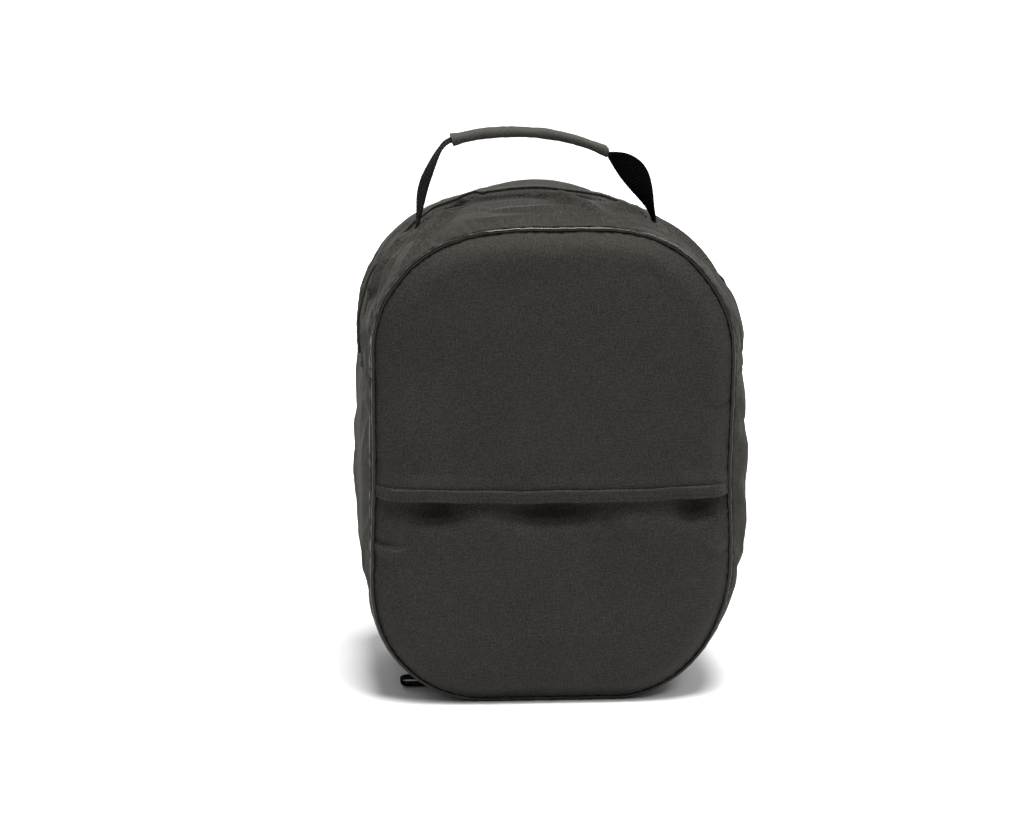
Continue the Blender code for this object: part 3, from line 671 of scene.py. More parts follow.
CROWN_EDGE = 0.0112  # height and reach of the roll beside the piping
CROWN_EDGE_REACH = 0.021
CROWN_BROAD = 0.0006  # height and reach of the padding's gentle crown
CROWN_BROAD_REACH = 0.080
PANEL_SPACING = 0.0033
FOAM_BACK_Y = 0.0052  # the pad's flat inner face, in from the front face
SEAM_INSET = 0.0010
POCKET_TOP_Z = HEM_TOP_Z - 0.008
# Heights of rows of points over the hem's lower edge, close together where it is turned and stitched
HEM_ROWS = (0.0005, 0.0012, 0.0022, 0.0040, 0.0060, 0.0078, 0.0088, 0.0095, 0.0102, 0.0110)
# Dents and creases on the front, as on the gusset but with lines of (x, z)
UPPER_FOLDS = (
    (((60, 332), (69, 329), (76, 322)), -1.5, 6, 6),
    (((135, 232), (124, 228), (112, 229)), -1.5, 2, 3.8),
    (((134, 236), (126, 233), (116, 234)), 1, 2.5, 3),
    (((-134, 262), (-120, 250), (-104, 246)), -0.7, 9, 14),
    (((-60, 330), (-30, 322), (10, 326)), -0.7, 14, 20),
    (((-126, 214), (-96, 204), (-60, 206)), 0.6, 12, 16),
    (((50, 214), (86, 204), (126, 212)), 0.7, 14, 18),
    (((-20, 268), (20, 258), (60, 264)), -0.6, 18, 22),
)
LOWER_FOLDS = (
    (((-133, 124), (-123, 120), (-110, 121)), 3, 1.9, 4),
    (((-134, 129), (-126, 126), (-115, 127)), -1.9, 2.6, 3),
    (((134, 121), (126, 119), (116, 122)), 2.1, 1.9, 4),
    (((-110, 154), (-96, 146), (-80, 150)), -1.6, 8, 12),
    (((-64, 150), (-52, 146), (-40, 152)), 1.4, 7, 9),
    (((-30, 152), (4, 145), (34, 152)), -1.3, 8, 14),
    (((46, 152), (56, 143), (70, 150)), 1.5, 7, 11),
    (((88, 154), (104, 147), (122, 154)), -1.1, 7, 10),
    (((-100, 98), (-60, 84), (-20, 96)), 0.8, 16, 22),
    (((30, 96), (64, 112), (100, 104)), -0.8, 16, 22),
    (((-30, 60), (20, 48), (80, 58)), 0.7, 18, 24),
)


def panel_outline(u, inset, slump=True):
    """Points (x, z) of a panel's edge, inside the outline by inset."""
    x, z, normal_x, normal_z = outline_at(u)
    out = -inset + (round_values(u, SLUMP) if slump else 0.0)
    return np.stack([x + normal_x * out, z + normal_z * out], axis=1)


def edge_distance(points, edge):
    """The distance from each (x, z) point to the nearest edge point."""
    best = np.full(len(points), np.inf)
    for k in range(0, len(edge), 64):
        gap = points[:, None] - edge[None, k : k + 64]
        best = np.minimum(best, np.hypot(gap[..., 0], gap[..., 1]).min(axis=1))
    return best


def inside_polygon(points, polygon):
    x, z = points[:, 0], points[:, 1]
    found = np.zeros(len(points), bool)
    for (ax, az), (bx, bz) in zip(polygon, np.roll(polygon, -1, axis=0)):
        if az == bz:
            continue
        crosses = ((az > z) != (bz > z)) & (x < (bx - ax) * (z - az) / (bz - az) + ax)
        found ^= crosses
    return found


def filled(polygon, spacing, rows=(), loose_rows=()):
    """Points and triangles over a closed (x, z) outline.

    The points of rows and loose_rows are among them, and no triangle crosses rows.
    """

    def within(points, gap):
        return inside_polygon(points, polygon) & (edge_distance(points, polygon) > gap)

    low, high = polygon.min(axis=0), polygon.max(axis=0)
    across = spacing * math.sqrt(3) / 2
    spots = []
    for k, z in enumerate(np.arange(low[1] + across, high[1], across)):
        spots += [(x, z) for x in np.arange(low[0] + k % 2 * spacing / 2, high[0], spacing)]
    spots = np.array(spots)
    keep = within(spots, spacing * 0.62)
    for lines, gap in ((rows, spacing * 0.55), (loose_rows, 0.0007)):
        for line in lines:
            keep &= edge_distance(spots, line) > gap
    spots = spots[keep]
    inner = [line[within(line, spacing * 0.4)] for line in rows]
    free = [line[within(line, 0.0004)] for line in loose_rows]
    points = np.vstack([polygon, spots, *inner, *free])
    count = len(polygon)
    edges = [(i, (i + 1) % count) for i in range(count)]
    start = count + len(spots)
    for line in inner:
        ends = [int(np.argmin(np.hypot(*(polygon - end).T))) for end in (line[0], line[-1])]
        chain = [ends[0], *range(start, start + len(line)), ends[1]]
        edges += list(zip(chain, chain[1:]))
        start += len(line)
    result = delaunay_2d_cdt([Vector(p) for p in points], edges, [], 1, 1e-7)
    made, triangles = (np.array([tuple(item) for item in result[k]]) for k in (0, 2))
    a, b, c = (made[triangles[:, k]] for k in range(3))
    area = (b[:, 0] - a[:, 0]) * (c[:, 1] - a[:, 1]) - (b[:, 1] - a[:, 1]) * (c[:, 0] - a[:, 0])
    triangles[area < 0] = triangles[area < 0][:, ::-1]
    return made, triangles


def rim_of(triangles):
    """The open edges of a triangle mesh, each in the direction its triangle runs."""
    edges = dict.fromkeys(pair for a, b, c in triangles for pair in ((a, b), (b, c), (c, a)))
    return [(a, b) for a, b in edges if (b, a) not in edges]


def closed_pad(name, flat, triangles, face, back, materials):
    """A closed form over one triangulation, from face to back. Its last material is on the back."""
    count, triangles = len(flat), triangles.tolist()
    faces = triangles + [[k + count for k in reversed(t)] for t in triangles]
    faces += [[b, a, a + count, b + count] for a, b in rim_of(triangles)]
    slots = [0] * len(triangles) + [len(materials) - 1] * len(triangles)
    slots += [0] * (len(faces) - len(slots))
    used = np.unique(np.concatenate(faces))
    faces = [np.searchsorted(used, corners) for corners in faces]
    points, uvs = np.vstack([face, back])[used], np.vstack([flat, flat])[used]
    return mesh_object(name, points, faces, materials, uvs, slots)


def crown(distance):
    """How far padded cloth stands out of the seam line at a distance from it."""
    rolls = ((CROWN_EDGE, CROWN_EDGE_REACH), (CROWN_BROAD, CROWN_BROAD_REACH))
    return sum(height * (1 - (1 - np.clip(distance / reach, 0, 1)) ** 2) for height, reach in rolls)


def hem_low(x):
    """Height of the pocket flap's lower edge: it hangs a little between its ends."""
    return HEM_LOW_Z + 0.0032 * (x / HALF) ** 2 + 0.0006 * ripples(x, (88, 47), 3)


def with_depth(flat, y):
    return np.stack([flat[:, 0], y, flat[:, 1]], axis=1)


def u_between(start, end, step):
    return np.linspace(start, end, max(2, int(round(abs(end - start) / step)) + 1))


FRONT_EDGE = panel_outline(u_between(0, AROUND, 0.002), SEAM_INSET)


def front_cloth(u, low_edge, strokes, grow, seed, rows=(), loose_rows=()):
    """The settled face of a front panel, with the crown, dents and the cloth's own wrinkles.

    Its outline follows the panel's edge along u, and is closed by the line low_edge(x). Fine creases
    get loose rows of points of their own.
    """
    side = panel_outline(u, SEAM_INSET)
    x = np.linspace(side[-1, 0], side[0, 0], int(2 * HALF / PANEL_SPACING) + 1)[1:-1]
    polygon = np.vstack([side, np.stack([x, low_edge(x)], axis=1)])
    loose_rows = list(loose_rows)
    for line, _, left, right in strokes:
        if min(left, right) < 3:
            line_x = np.linspace(line[0][0], line[-1][0], int(abs(line[-1][0] - line[0][0]) / 1.8) + 1)
            line_z = np.interp(line_x, *zip(*sorted(line)))
            for off in (-4.6, -3.1, -1.7, -0.6, 0.6, 1.7, 3.1, 4.6):
                loose_rows.append(np.stack([line_x, line_z + off], axis=1) * MM)
    flat, triangles = filled(polygon, PANEL_SPACING, rows, loose_rows)
    gap = edge_distance(flat, FRONT_EDGE)
    near_seam = np.exp(-gap / 0.009) * (1 - np.exp(-gap / 0.002))
    round_seam = np.arctan2(flat[:, 1] - 0.18, flat[:, 0]) * 0.17
    pucker = ripples(round_seam, (14, 9, 23), seed) * (0.5 + 0.5 * ripples(round_seam, (83, 57), seed + 1))
    out = crown(gap) + folds(flat[:, 0], flat[:, 1], strokes) + 0.0005 * pucker * near_seam
    points = with_depth(flat, FRONT_Y + 0.0008 - out)
    return polygon, flat, triangles, points + relaxed(points, triangles, gap < 0.0012, grow, 0.5, 0.0025)


def build_front():
    """The padded upper front and the hem over the pocket mouth: one cloth, parted at the hem's top."""
    hem_u = u_at_height(HEM_TOP_Z)
    part = u_between(u_at_height(HEM_LOW_Z + 0.003), hem_u, PANEL_SPACING)
    above = u_between(hem_u, AROUND - hem_u, PANEL_SPACING)
    u = np.concatenate([part[:-1], above, AROUND - part[-2::-1]])
    top_row = np.stack([np.linspace(-HALF, HALF, 66), np.full(66, HEM_TOP_Z)], axis=1)
    x = np.linspace(-HALF, HALF, 150)
    rows = [np.stack([x, hem_low(x) + height], axis=1) for height in HEM_ROWS]
    _, flat, triangles, face = front_cloth(u, hem_low, UPPER_FOLDS, 0.0022, 21, [top_row], rows)
    x, up = flat[:, 0], flat[:, 1] - hem_low(flat[:, 0])
    sag = (1 - smooth_step(0.010, 0.022, up)) * (0.0019 + 0.0011 * ripples(x, (71, 113, 49), 8))
    band = 0.0011 * (1 - smooth_step(0.0088, 0.0099, up)) + 0.0007 * bump(up - 0.0012, 0.0014)
    band += 0.0002 * ripples(x + 0.4 * up, (5.2, 8.1, 3.7), 9) * (up < 0.009)
    groove = -0.0007 * bump(up - 0.0097, 0.0009)
    face[:, 1] -= (sag + band + groove) * np.clip((HALF - np.abs(x)) / 0.010, 0, 1)
    upper = flat[triangles][:, :, 1].mean(axis=1) > HEM_TOP_Z
    inner, behind = face.copy(), face.copy()
    inner[:, 1] = np.maximum(FRONT_Y + FOAM_BACK_Y, face[:, 1] + 0.0008)
    behind[:, 1] += 0.0022
    panel = closed_pad("front_upper_panel", flat, triangles[upper], face, inner, [PANEL])
    attach(panel, ["lid_panel", "lid_foam", "front_panel_lower"], "lid_cloth")
    flap = closed_pad("pocket_flap_hem", flat, triangles[~upper], face, behind, [PANEL])
    attach(flap, ["pocket_flap"], "hem")
    flat = (2 * HALF, HEM_TOP_Z - HEM_LOW_Z + 0.001)


def pocket_top(x):
    return np.full(len(x), POCKET_TOP_Z)


def build_pocket():
    """The pocket's front cloth, which gapes in three places under the hem."""
    top_u = u_at_height(POCKET_TOP_Z)
    u = u_between(AROUND - top_u, AROUND + top_u, PANEL_SPACING)
    polygon, flat, triangles, face = front_cloth(u, pocket_top, LOWER_FOLDS, 0.0030, 31)
    x, down = flat[:, 0], hem_low(flat[:, 0]) - flat[:, 1]
    gapes = bump(x + 0.085, 0.018) + bump(x - 0.002, 0.033) + 0.9 * bump(x - 0.107, 0.014)
    under = 0.0034 * (1 - smooth_step(-0.002, 0.022, down))
    under += 0.0125 * gapes * (1 - smooth_step(0.002, 0.026, down))
    face[:, 1] += under * np.clip((HALF - np.abs(x)) / 0.014, 0, 1)
    back = face + np.array([0, 0.0012, 0])
    front = closed_pad("pocket_front_cloth", flat, triangles, face, back, [PANEL, LINING])
    attach(front, ["pocket_front"], "bag")


def flat_wall(name, polygon, node, outward, body, puff, spacing, fill=None):
    """A lining, or a pad if it has a fill: a thin closed form with a soft rim and shallow quilting waves.

    outward is 1 where its soft face is to the rear, and -1 where it is to the front.
    """
    flat, triangles = filled(polygon, spacing)
    y_back, y_face = [corner.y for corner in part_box(node)][::outward]
    waves = 0.6 + 0.4 * ripples(flat[:, 0] + 0.7 * flat[:, 1], (120, 77), 41)
    soft = puff * (1 - np.exp(-edge_distance(flat, polygon) / 0.006)) * waves
    face = with_depth(flat, y_face - outward * (puff - soft))
    back = with_depth(flat, np.full(len(flat), y_back))
    made = closed_pad(name, flat, triangles[:, ::-outward], face, back, [PANEL if fill else LINING])
    attach(made, [node], body)


def build_inner_walls():
    low_u, high_u = u_at_height(SEAM_Z - GAP), u_at_height(SEAM_Z - GAP) + 2 * GAP
    inset = PANEL_INSET + 0.0012
    lower = panel_outline(u_between(AROUND - low_u, AROUND + low_u, 0.008), inset)
    upper = panel_outline(u_between(high_u, AROUND - high_u, 0.008), inset)
    whole = panel_outline(u_between(0, AROUND, 0.008)[:-1], inset, slump=False)
    flat_wall("pocket_back_pad", lower, "front_foam_lower", -1, "bag", 0.0008, 0.009, fill=0.4)
    flat_wall("front_lining_cloth", lower, "front_lining_lower", 1, "bag", 0.0004, 0.0035)
    flat_wall("lid_lining_cloth", upper, "lid_lining", 1, "lid_cloth", 0.0004, 0.0035)
    flat_wall("rear_lining_cloth", whole, "rear_lining", -1, "bag", 0.0004, 0.009)


REAR_FOLDS = (
    (((-100, 150), (-40, 140), (30, 150)), 0.7, 18, 24),
    (((-20, 260), (40, 250), (100, 262)), -0.8, 18, 24),
    (((132, 180), (122, 176), (110, 178)), -0.9, 3, 5),
    (((-132, 220), (-122, 214), (-112, 216)), 0.9, 3, 5),
    (((-70, 40), (0, 34), (70, 42)), 0.7, 14, 20),
)


def build_rear():
    polygon = panel_outline(u_between(0, AROUND, PANEL_SPACING)[:-1], SEAM_INSET, slump=False)
    flat, triangles = filled(polygon, PANEL_SPACING)
    triangles = triangles[:, ::-1]
    gap = edge_distance(flat, polygon)
    points = with_depth(flat, REAR_Y - 0.0008 + crown(gap) + folds(flat[:, 0], flat[:, 1], REAR_FOLDS))
    points += relaxed(points, triangles, gap < 0.0012, 0.0022, 0.5, 0.0025)
    back = with_depth(flat, np.full(len(flat), REAR_Y - FOAM_BACK_Y))
    made = closed_pad("rear_padded_panel", flat, triangles, points, back, [PANEL])
    attach(made, ["rear_panel", "rear_foam_board"], "bag")


# Tubes, piping and tapes


def tube(path, radius, sides, ups, closed=False):
    """Points, faces and cloth places of a round tube along a path."""
    ahead, length = along_path(path, closed)
    up = ups - (ups * ahead).sum(axis=1, keepdims=True) * ahead
    up /= np.linalg.norm(up, axis=1, keepdims=True)
    side = np.cross(ahead, up)
    radius = np.broadcast_to(radius, (len(path),))
    lines, uvs = [], []
    for angle in np.arange(sides) * 2 * math.pi / sides:
        lines.append(path + (up * math.cos(angle) + side * math.sin(angle)) * radius[:, None])
        uvs.append(np.stack([length, np.full(len(path), angle * radius.mean())], axis=1))
    return skin(lines, uvs, closed)


def build_piping():
    low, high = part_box("piping_rear")
    u = u_between(0, AROUND, 0.0022)[:-1]
    x, z, normal_x, normal_z = outline_at(u)
    ups = np.stack([normal_x, 0 * x, normal_z], axis=1)
    front_nodes = ["piping_lid", "piping_front_lower"]
    cords = (
        ("front", FRONT_Y + 0.0002, round_values(u, SLUMP), front_nodes, "lid_cloth", 51),
        ("rear", REAR_Y - 0.0002, 0 * u, ["piping_rear"], "bag", 52),
    )
    for side, y, slump, nodes, body, seed in cords:
        uneven = 0.00025 * ripples(u, (31, 17, 12), seed) * (1 + np.minimum(0, normal_z))
        out = slump - 0.0002 + uneven
        y = y + 0.0003 * ripples(u, (43, 27), seed + 2)
        lumpy = (high.y - low.y) / 2 * (1 + 0.05 * ripples(u, (7.5, 11), seed + 4))
        path = np.stack([x + normal_x * out, y, z + normal_z * out], axis=1)
        points, faces, uvs = tube(path, lumpy, 12, ups, closed=True)
        points[:, 2] = np.maximum(points[:, 2], 0.0)
        made = mesh_object("piping_%s_cord" % side, points, faces, [PIPING], uvs)
        attach(made, nodes, body)


def inner_tape(name, u_values, y_from, y_to, offset, thick, nodes, body, seed):
    """A binding tape on the inside of a seam, slightly wavy."""
    u, share = np.meshgrid(u_values, np.linspace(0, 1, 6), indexing="ij")
    y = y_from + (y_to - y_from) * share
    x, z, normal_x, normal_z = outline_at(u)
    arch = 0.0004 * np.sin(np.pi * share) * (1 + 0.5 * ripples(u, (37, 23), seed))
    outs = [arch - offset, arch - offset - thick]
    layers = [np.stack([x + normal_x * out, y, z + normal_z * out], axis=2) for out in outs]
    attach(two_layers(name, *layers, u, y, [BINDING]), nodes, body)


def build_tapes():
    width, near = 0.0105, FRONT_Y + 0.0027
    u = u_between(0, AROUND, 0.005)
    nodes = ["binding_lid", "binding_front_lower"]
    inner_tape("binding_front_tape", u, near, near + width, 0.0009, 0.0011, nodes, "lid_cloth", 61)
    inner_tape("binding_rear_tape", u, -near - width, -near, 0.0009, 0.0011, ["binding_rear"], "bag", 62)
    reach = near + width + 0.0006
    low_u, high_u = u_at_height(SEAM_Z - width), u_at_height(SEAM_Z - GAP)
    for side, start, end in (("right", low_u, high_u), ("left", AROUND - high_u, AROUND - low_u)):
        node, u = "side_seam_tape_" + side, np.linspace(start, end, 5)
        inner_tape(node + "_cloth", u, reach, -reach, 0.0002, 0.0005, [node], "bag", 63)


# Gusset cloth, zip flaps and end tabs


def build_gusset():
    front, rear = FRONT_Y + GUSSET_EDGE_Y, REAR_Y - GUSSET_EDGE_Y
    both = [SHELL, LINING]
    u = u_between(AROUND - SEAM_U, AROUND + SEAM_U, 0.0028)
    base = gusset_patch("gusset_base_cloth", u, front, rear, both, 0.0028, rolls=("start", "end"))
    attach(base, ["base_gusset"], "bag")
    u = u_between(SEAM_U - 0.001, AROUND - SEAM_U + 0.001, 0.0011)
    bands = (
        ("rear", REAR_FLAP_Y, rear, ("from",), "bag"),
        ("lid", front, FRONT_FLAP_Y, ("to",), "lid_cloth"),
    )
    for side, y_from, y_to, rolls, body in bands:
        name = "gusset_%s_cloth" % side
        made = gusset_patch(name, u, y_from, y_to, both, 0.0011, rolls=rolls, climb=rolls)
        attach(made, [side + "_gusset"], body)
    low_y, high_y = FRONT_FLAP_Y - 0.003, REAR_FLAP_Y + 0.003
    u = u_between(TAB_U + 0.0003, AROUND - TAB_U - 0.0003, 0.0011)
    flaps = (
        ("front", low_y, FLAPS_MEET_Y, ("to",), "lid_cloth"),
        ("rear", FLAPS_MEET_Y, high_y, ("from",), "bag"),
    )
    for side, y_from, y_to, rolls, body in flaps:
        made = gusset_patch("zip_flap_%s_cloth" % side, u, y_from, y_to, [SHELL], 0.0011, rolls=rolls)
        attach(made, ["zip_flap_" + side], body)
    tabs = (("right", SEAM_U, TAB_U, "end"), ("left", AROUND - TAB_U, AROUND - SEAM_U, "start"))
    for side, start, end, roll in tabs:
        u = np.linspace(start - 0.0008, end + 0.0002, 8)
        made = gusset_patch("zip_end_patch_" + side, u, low_y, high_y, [SHELL], 0.003, rolls=(roll,))
        attach(made, ["zip_end_tab_" + side], "bag")


# Zip

COIL_PITCH = 0.00125
COIL_DROP = -0.00425  # the coils' middle, from the gusset's face


def tape_drop(y):
    """The zip tape lies flat beside the coil and rises to the flap further out."""
    return COIL_DROP + 0.00195 * smooth_step(0.0070, 0.0092, np.abs(y - SLIT_Y))


def build_zip():
    """The two tapes, and a coil on each: one thread wound along the whole zip."""
    tape_u = u_between(SEAM_U + 0.002, AROUND - SEAM_U - 0.002, 0.005)
    turns = int((AROUND - 2 * TAB_U - 0.004) / COIL_PITCH)
    turn = np.linspace(0, turns, turns * 8 + 1)
    u, angle = TAB_U + 0.002 + turn * COIL_PITCH, turn * 2 * math.pi
    normals = gusset_face(u, np.full_like(u, SLIT_Y))[1]
    for side, sign, body in (("front", -1, "lid_cloth"), ("rear", 1, "bag")):
        y_from, y_to = sorted((SLIT_Y + sign * 0.0037, SLIT_Y + sign * 0.0136))
        name = "zip_tape_%s_cloth" % side
        made = gusset_patch(name, tape_u, y_from, y_to, [ZIP_TAPE], 0.0012, tape_drop, 0.0005)
        attach(made, ["zip_tape_" + side], body)
        coil = gusset_face(u, np.full_like(u, SLIT_Y + sign * 0.004))[0]
        coil[:, 1] = SLIT_Y + sign * 0.00195 + 0.00125 * np.cos(angle)
        coil += normals * (COIL_DROP + 0.00045 * np.sin(angle))[:, None]
        points, faces, uvs = tube(coil, 0.00028, 4, normals)
        made = mesh_object("zip_coil_" + side, points, faces, [COIL], uvs)
        attach(made, ["zip_teeth_" + side], body)


def build_stops():
    """Crimped metal bars across both coils, just under the first turn and after the last."""
    half_long, half_wide, drop = 0.0014, 0.0033, -0.0042
    for side, middle in (("right", TAB_U - 0.0013), ("left", AROUND - TAB_U + 0.0013)):
        u = np.linspace(middle - half_long, middle + half_long, 7)
        u, y = np.meshgrid(u, np.linspace(SLIT_Y - half_wide, SLIT_Y + half_wide, 15), indexing="ij")
        level, normals = gusset_face(u, np.full_like(u, SLIT_Y + 0.004))
        level[..., 1] = y
        along = np.clip(1 - np.abs((u - middle) / half_long) ** 3, 0, 1) ** 0.5
        across = np.clip(1 - np.abs((y - SLIT_Y) / half_wide) ** 4, 0, 1) ** 0.5
        high = 0.0008 * along * across - 0.0002 * bump(y - SLIT_Y, 0.0006)
        top = level + normals * (drop + high)[..., None]
        low = level + normals * (drop - 0.6 * high - 0.0001)[..., None]
        made = two_layers("zip_end_stop_" + side, top, low, u, y, [METAL])
        attach(made, ["zip_stop_" + side], "bag")


# Handle

HANDLE_LOW, HANDLE_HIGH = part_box("handle_webbing")
HANDLE_Y = (HANDLE_LOW.y + HANDLE_HIGH.y) / 2
WEBBING_WIDTH = HANDLE_HIGH.y - HANDLE_LOW.y
WEBBING_THICK = 0.0016
LEFT_FOOT_X, RIGHT_FOOT_X = -0.0975, 0.0795
# The sewn patches over the feet: their front edge and half sizes
FOOT_Y = HANDLE_Y - 0.0135
FOOT_HALF_LONG = 0.0085
FOOT_HALF_WIDE = {"right": 0.01025, "left": 0.0130}
HANDLE_LINE = (  # (x, z) of the webbing's middle between the two feet, as in the CAD
    (-0.0950, 0.3700),
    (-0.0895, 0.3900),
    (-0.0815, 0.4080),
    (-0.0720, 0.4170),
    (-0.0500, 0.4215),
    (-0.0250, 0.4230),
    (0.0000, 0.4212),
    (0.0230, 0.4160),
    (0.0430, 0.4085),
    (0.0540, 0.4020),
    (0.0640, 0.3915),
    (0.0710, 0.3800),
    (0.0760, 0.3690),
)
GRIP_LINE = HANDLE_LINE[3:9]
# (x, z) round the pull loop, from its root and back
LOOP_LINE = (
    (-0.0797, 0.0022),
    (-0.0850, 0.00105),
    (-0.1000, 0.00095),
    (-0.1060, 0.00115),
    (-0.1088, 0.00310),
    (-0.1078, 0.00560),
    (-0.1035, 0.00640),
    (-0.0930, 0.00570),
    (-0.0845, 0.00430),
    (-0.0797, 0.00370),
)


def foot_point(x):
    reach = SHOULDER_R + EDGE + CAD_SWELL
    return (x, SHOULDER_Z + math.sqrt(reach**2 - (abs(x) - SHOULDER_X) ** 2) + 0.0014)


def smooth_path(points, step):
    """A smooth curve through (x, z) points at even steps, and the distance along it."""
    points = np.asarray(points, float)
    ends = np.vstack([2 * points[0] - points[1], points, 2 * points[-1] - points[-2]])
    curve = []
    for k in range(len(points) - 1):
        a, b, c, d = ends[k : k + 4]
        for t in np.linspace(0, 1, 40, endpoint=False):
            bend = (2 * a - 5 * b + 4 * c - d) * t**2 + (3 * b - a - 3 * c + d) * t**3
            curve.append((2 * b + (c - a) * t + bend) / 2)
    curve = np.array([*curve, points[-1]])
    length = along_path(curve)[1]
    even = np.linspace(0, length[-1], max(3, int(round(length[-1] / step)) + 1))
    return np.stack([np.interp(even, length, curve[:, k]) for k in range(2)], axis=1), even


def strap(name, path, length, y, width, thick, rib, twist=0.0, sides=9, shift=0.0):
    """Flat webbing with round edges along an (x, z) path. Its sizes may change along it."""
    width, thick, twist, shift = (value + 0 * length for value in (width, thick, twist, shift))
    forward = with_depth(along_path(path)[0], 0 * length)
    depth = np.broadcast_to([0.0, 1.0, 0.0], forward.shape)
    outward = np.cross(forward, depth)
    cosine, sine = np.cos(twist)[:, None], np.sin(twist)[:, None]
    across, face = depth * cosine + outward * sine, outward * cosine - depth * sine
    centre = with_depth(path, y + 0 * length) + face * shift[:, None]
    share = np.linspace(-1, 1, sides)
    share = np.sign(share) * np.abs(share) ** 0.8
    ridge = rib * np.sin(length * 2 * math.pi / 0.0026)
    lines, uvs = [], []
    for way, shares in ((1, share), (-1, share[::-1][1:-1])):
        for s in shares:
            rise = (thick / 2 + ridge * (1 - abs(s) ** 6)) * math.sqrt(1 - s**4) * way
            lines.append(centre + across * (s * width / 2)[:, None] + face * rise[:, None])
            uvs.append(np.stack([length, s * width / 2], axis=1))
    points, faces, uvs = skin(lines, uvs)
    return mesh_object(name, points, faces, [WEBBING], uvs, angle=60)


def build_handle():
    """The webbing from foot to foot, pinched at its feet and twisted to the right of the grip."""
    left, right = foot_point(LEFT_FOOT_X), foot_point(RIGHT_FOOT_X)
    low_left, low_right = (left[0] - 0.0006, left[1] - 0.0060), (right[0] + 0.0010, right[1] - 0.0060)
    path, length = smooth_path([low_left, left, *HANDLE_LINE, right, low_right], 0.00065)
    x, z = path.T
    climb = z - np.where(x < 0, left[1], right[1])
    on_left, beyond = x < -0.03, x > -0.07
    past_grip = np.clip(length - np.interp(GRIP_LINE[-1][0], x[beyond], length[beyond]), 0, None)
    right_twist = -math.radians(64) * np.sin(math.pi * past_grip / past_grip.max()) ** 0.8
    left_twist = math.radians(14) * np.sin(math.pi * np.clip(climb / 0.06, 0, 1))
    twist = np.where(x > 0, right_twist, np.where(on_left, left_twist, 0.0))
    narrow, reach = np.where(on_left, 0.55, 0.30), np.where(on_left, 0.026, 0.038)
    pinch = narrow + (1 - narrow) * smooth_step(-0.002, reach, climb)
    made = strap(
        "handle_strap", path, length, HANDLE_Y, WEBBING_WIDTH * pinch, WEBBING_THICK * (1.6 - 0.6 * pinch),
        0.00016, twist, 11, 0.0005 * ripples(length, (37, 61), 71),
    )
    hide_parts("handle_webbing")
    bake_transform(made)
    path, length = smooth_path(GRIP_LINE, 0.0016)
    grip = build_grip(path, length)
    attach(grip, ["grip_sleeve"], "carry_handle")


def build_grip(path, length):
    """Cloth folded round the webbing: a flat tube with an overlapping folded edge along its front."""
    ahead = along_path(path)[0]
    out = with_depth(np.stack([-ahead[:, 1], ahead[:, 0]], axis=1), 0 * length)
    centre = with_depth(path, HANDLE_Y + 0 * length)
    half_width, half_thick, around = 0.0139, 0.0027, 44
    closing = 1 + 0.15 * np.exp(-np.minimum(length, length[-1] - length) / 0.004)
    puff = 1 + 0.10 * ripples(length, (41, 23), 81)
    lines, uvs = ([], []), []
    for k in range(around):
        angle = 2 * math.pi * k / around
        across, up = math.cos(angle), math.sin(angle)
        across = math.copysign(abs(across) ** 0.55, across)
        up = math.copysign(abs(up) ** 0.62, up)
        lap = 0.0016 * bump(angle - 3.62, 0.34) * (1 if angle < 3.70 else 0.25)
        wrinkle = 0.00028 * ripples(length + 0.006 * math.sin(2 * angle), (9, 14, 6), 90 + k % 3)
        for layer, shrink in zip(lines, (0.0, 0.0012)):
            thick = (half_thick * puff + lap + wrinkle - shrink) * up * closing
            wide = (half_width - shrink + 0.0003 * ripples(length, (19, 33), 83)) * across * closing
            layer.append(centre + out * thick[:, None] + with_depth(np.zeros_like(path), wide))
        girth = 4 * (half_width + half_thick)
        uvs.append(np.stack([length, np.full(len(length), girth * k / around)], axis=1))
    rows = len(path)
    size = rows * around
    faces = grid_faces(rows, around, closed_columns=True)
    faces += grid_faces(rows, around, size, closed_columns=True, flip=True)
    for row, way in ((0, -1), (size - around, 1)):
        for k in range(around):
            a, b = row + k, row + (k + 1) % around
            faces.append((b, b + size, a + size, a)[::way])
    points = np.vstack([np.stack(layer, axis=1).reshape(-1, 3) for layer in lines])
    uvs = np.tile(np.stack(uvs, axis=1).reshape(-1, 2), (2, 1))
    return mesh_object("grip_cover", points, faces, [SHELL], uvs)


def foot_middle(side):
    """Where a foot of the handle is, as a distance round the outline."""
    low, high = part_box("handle_foot_" + side)
    gaps = np.hypot(OUTLINE[:, 0] - (low.x + high.x) / 2, OUTLINE[:, 1] - (low.z + high.z) / 2)
    return float(OUTLINE_U[np.argmin(gaps)])


def build_feet():
    """Where each end of the webbing goes into the gusset, a sewn patch of cloth lies over it."""
    for side, half in FOOT_HALF_WIDE.items():
        middle = foot_middle(side)
        u = np.linspace(middle - FOOT_HALF_LONG, middle + FOOT_HALF_LONG, 22)
        u, y = np.meshgrid(u, np.linspace(FOOT_Y, FOOT_Y + 2 * half, 30), indexing="ij")
        across, along = (y - FOOT_Y - half) / half, (u - middle) / FOOT_HALF_LONG
        oval = np.clip(1 - np.abs(across) ** 3 - np.abs(along) ** 3, 0, 1) ** 0.4
        groove = -0.0006 * bump(np.hypot(across, along) - 0.72, 0.10)
        face, normals = gusset_face(u, y)
        top = face + normals * (-0.0004 + 0.0016 * oval + groove * oval)[..., None]
        made = two_layers("handle_foot_patch_" + side, top, face - normals * 0.0010, u, y, [SHELL])
        attach(made, ["handle_foot_" + side], "lid")


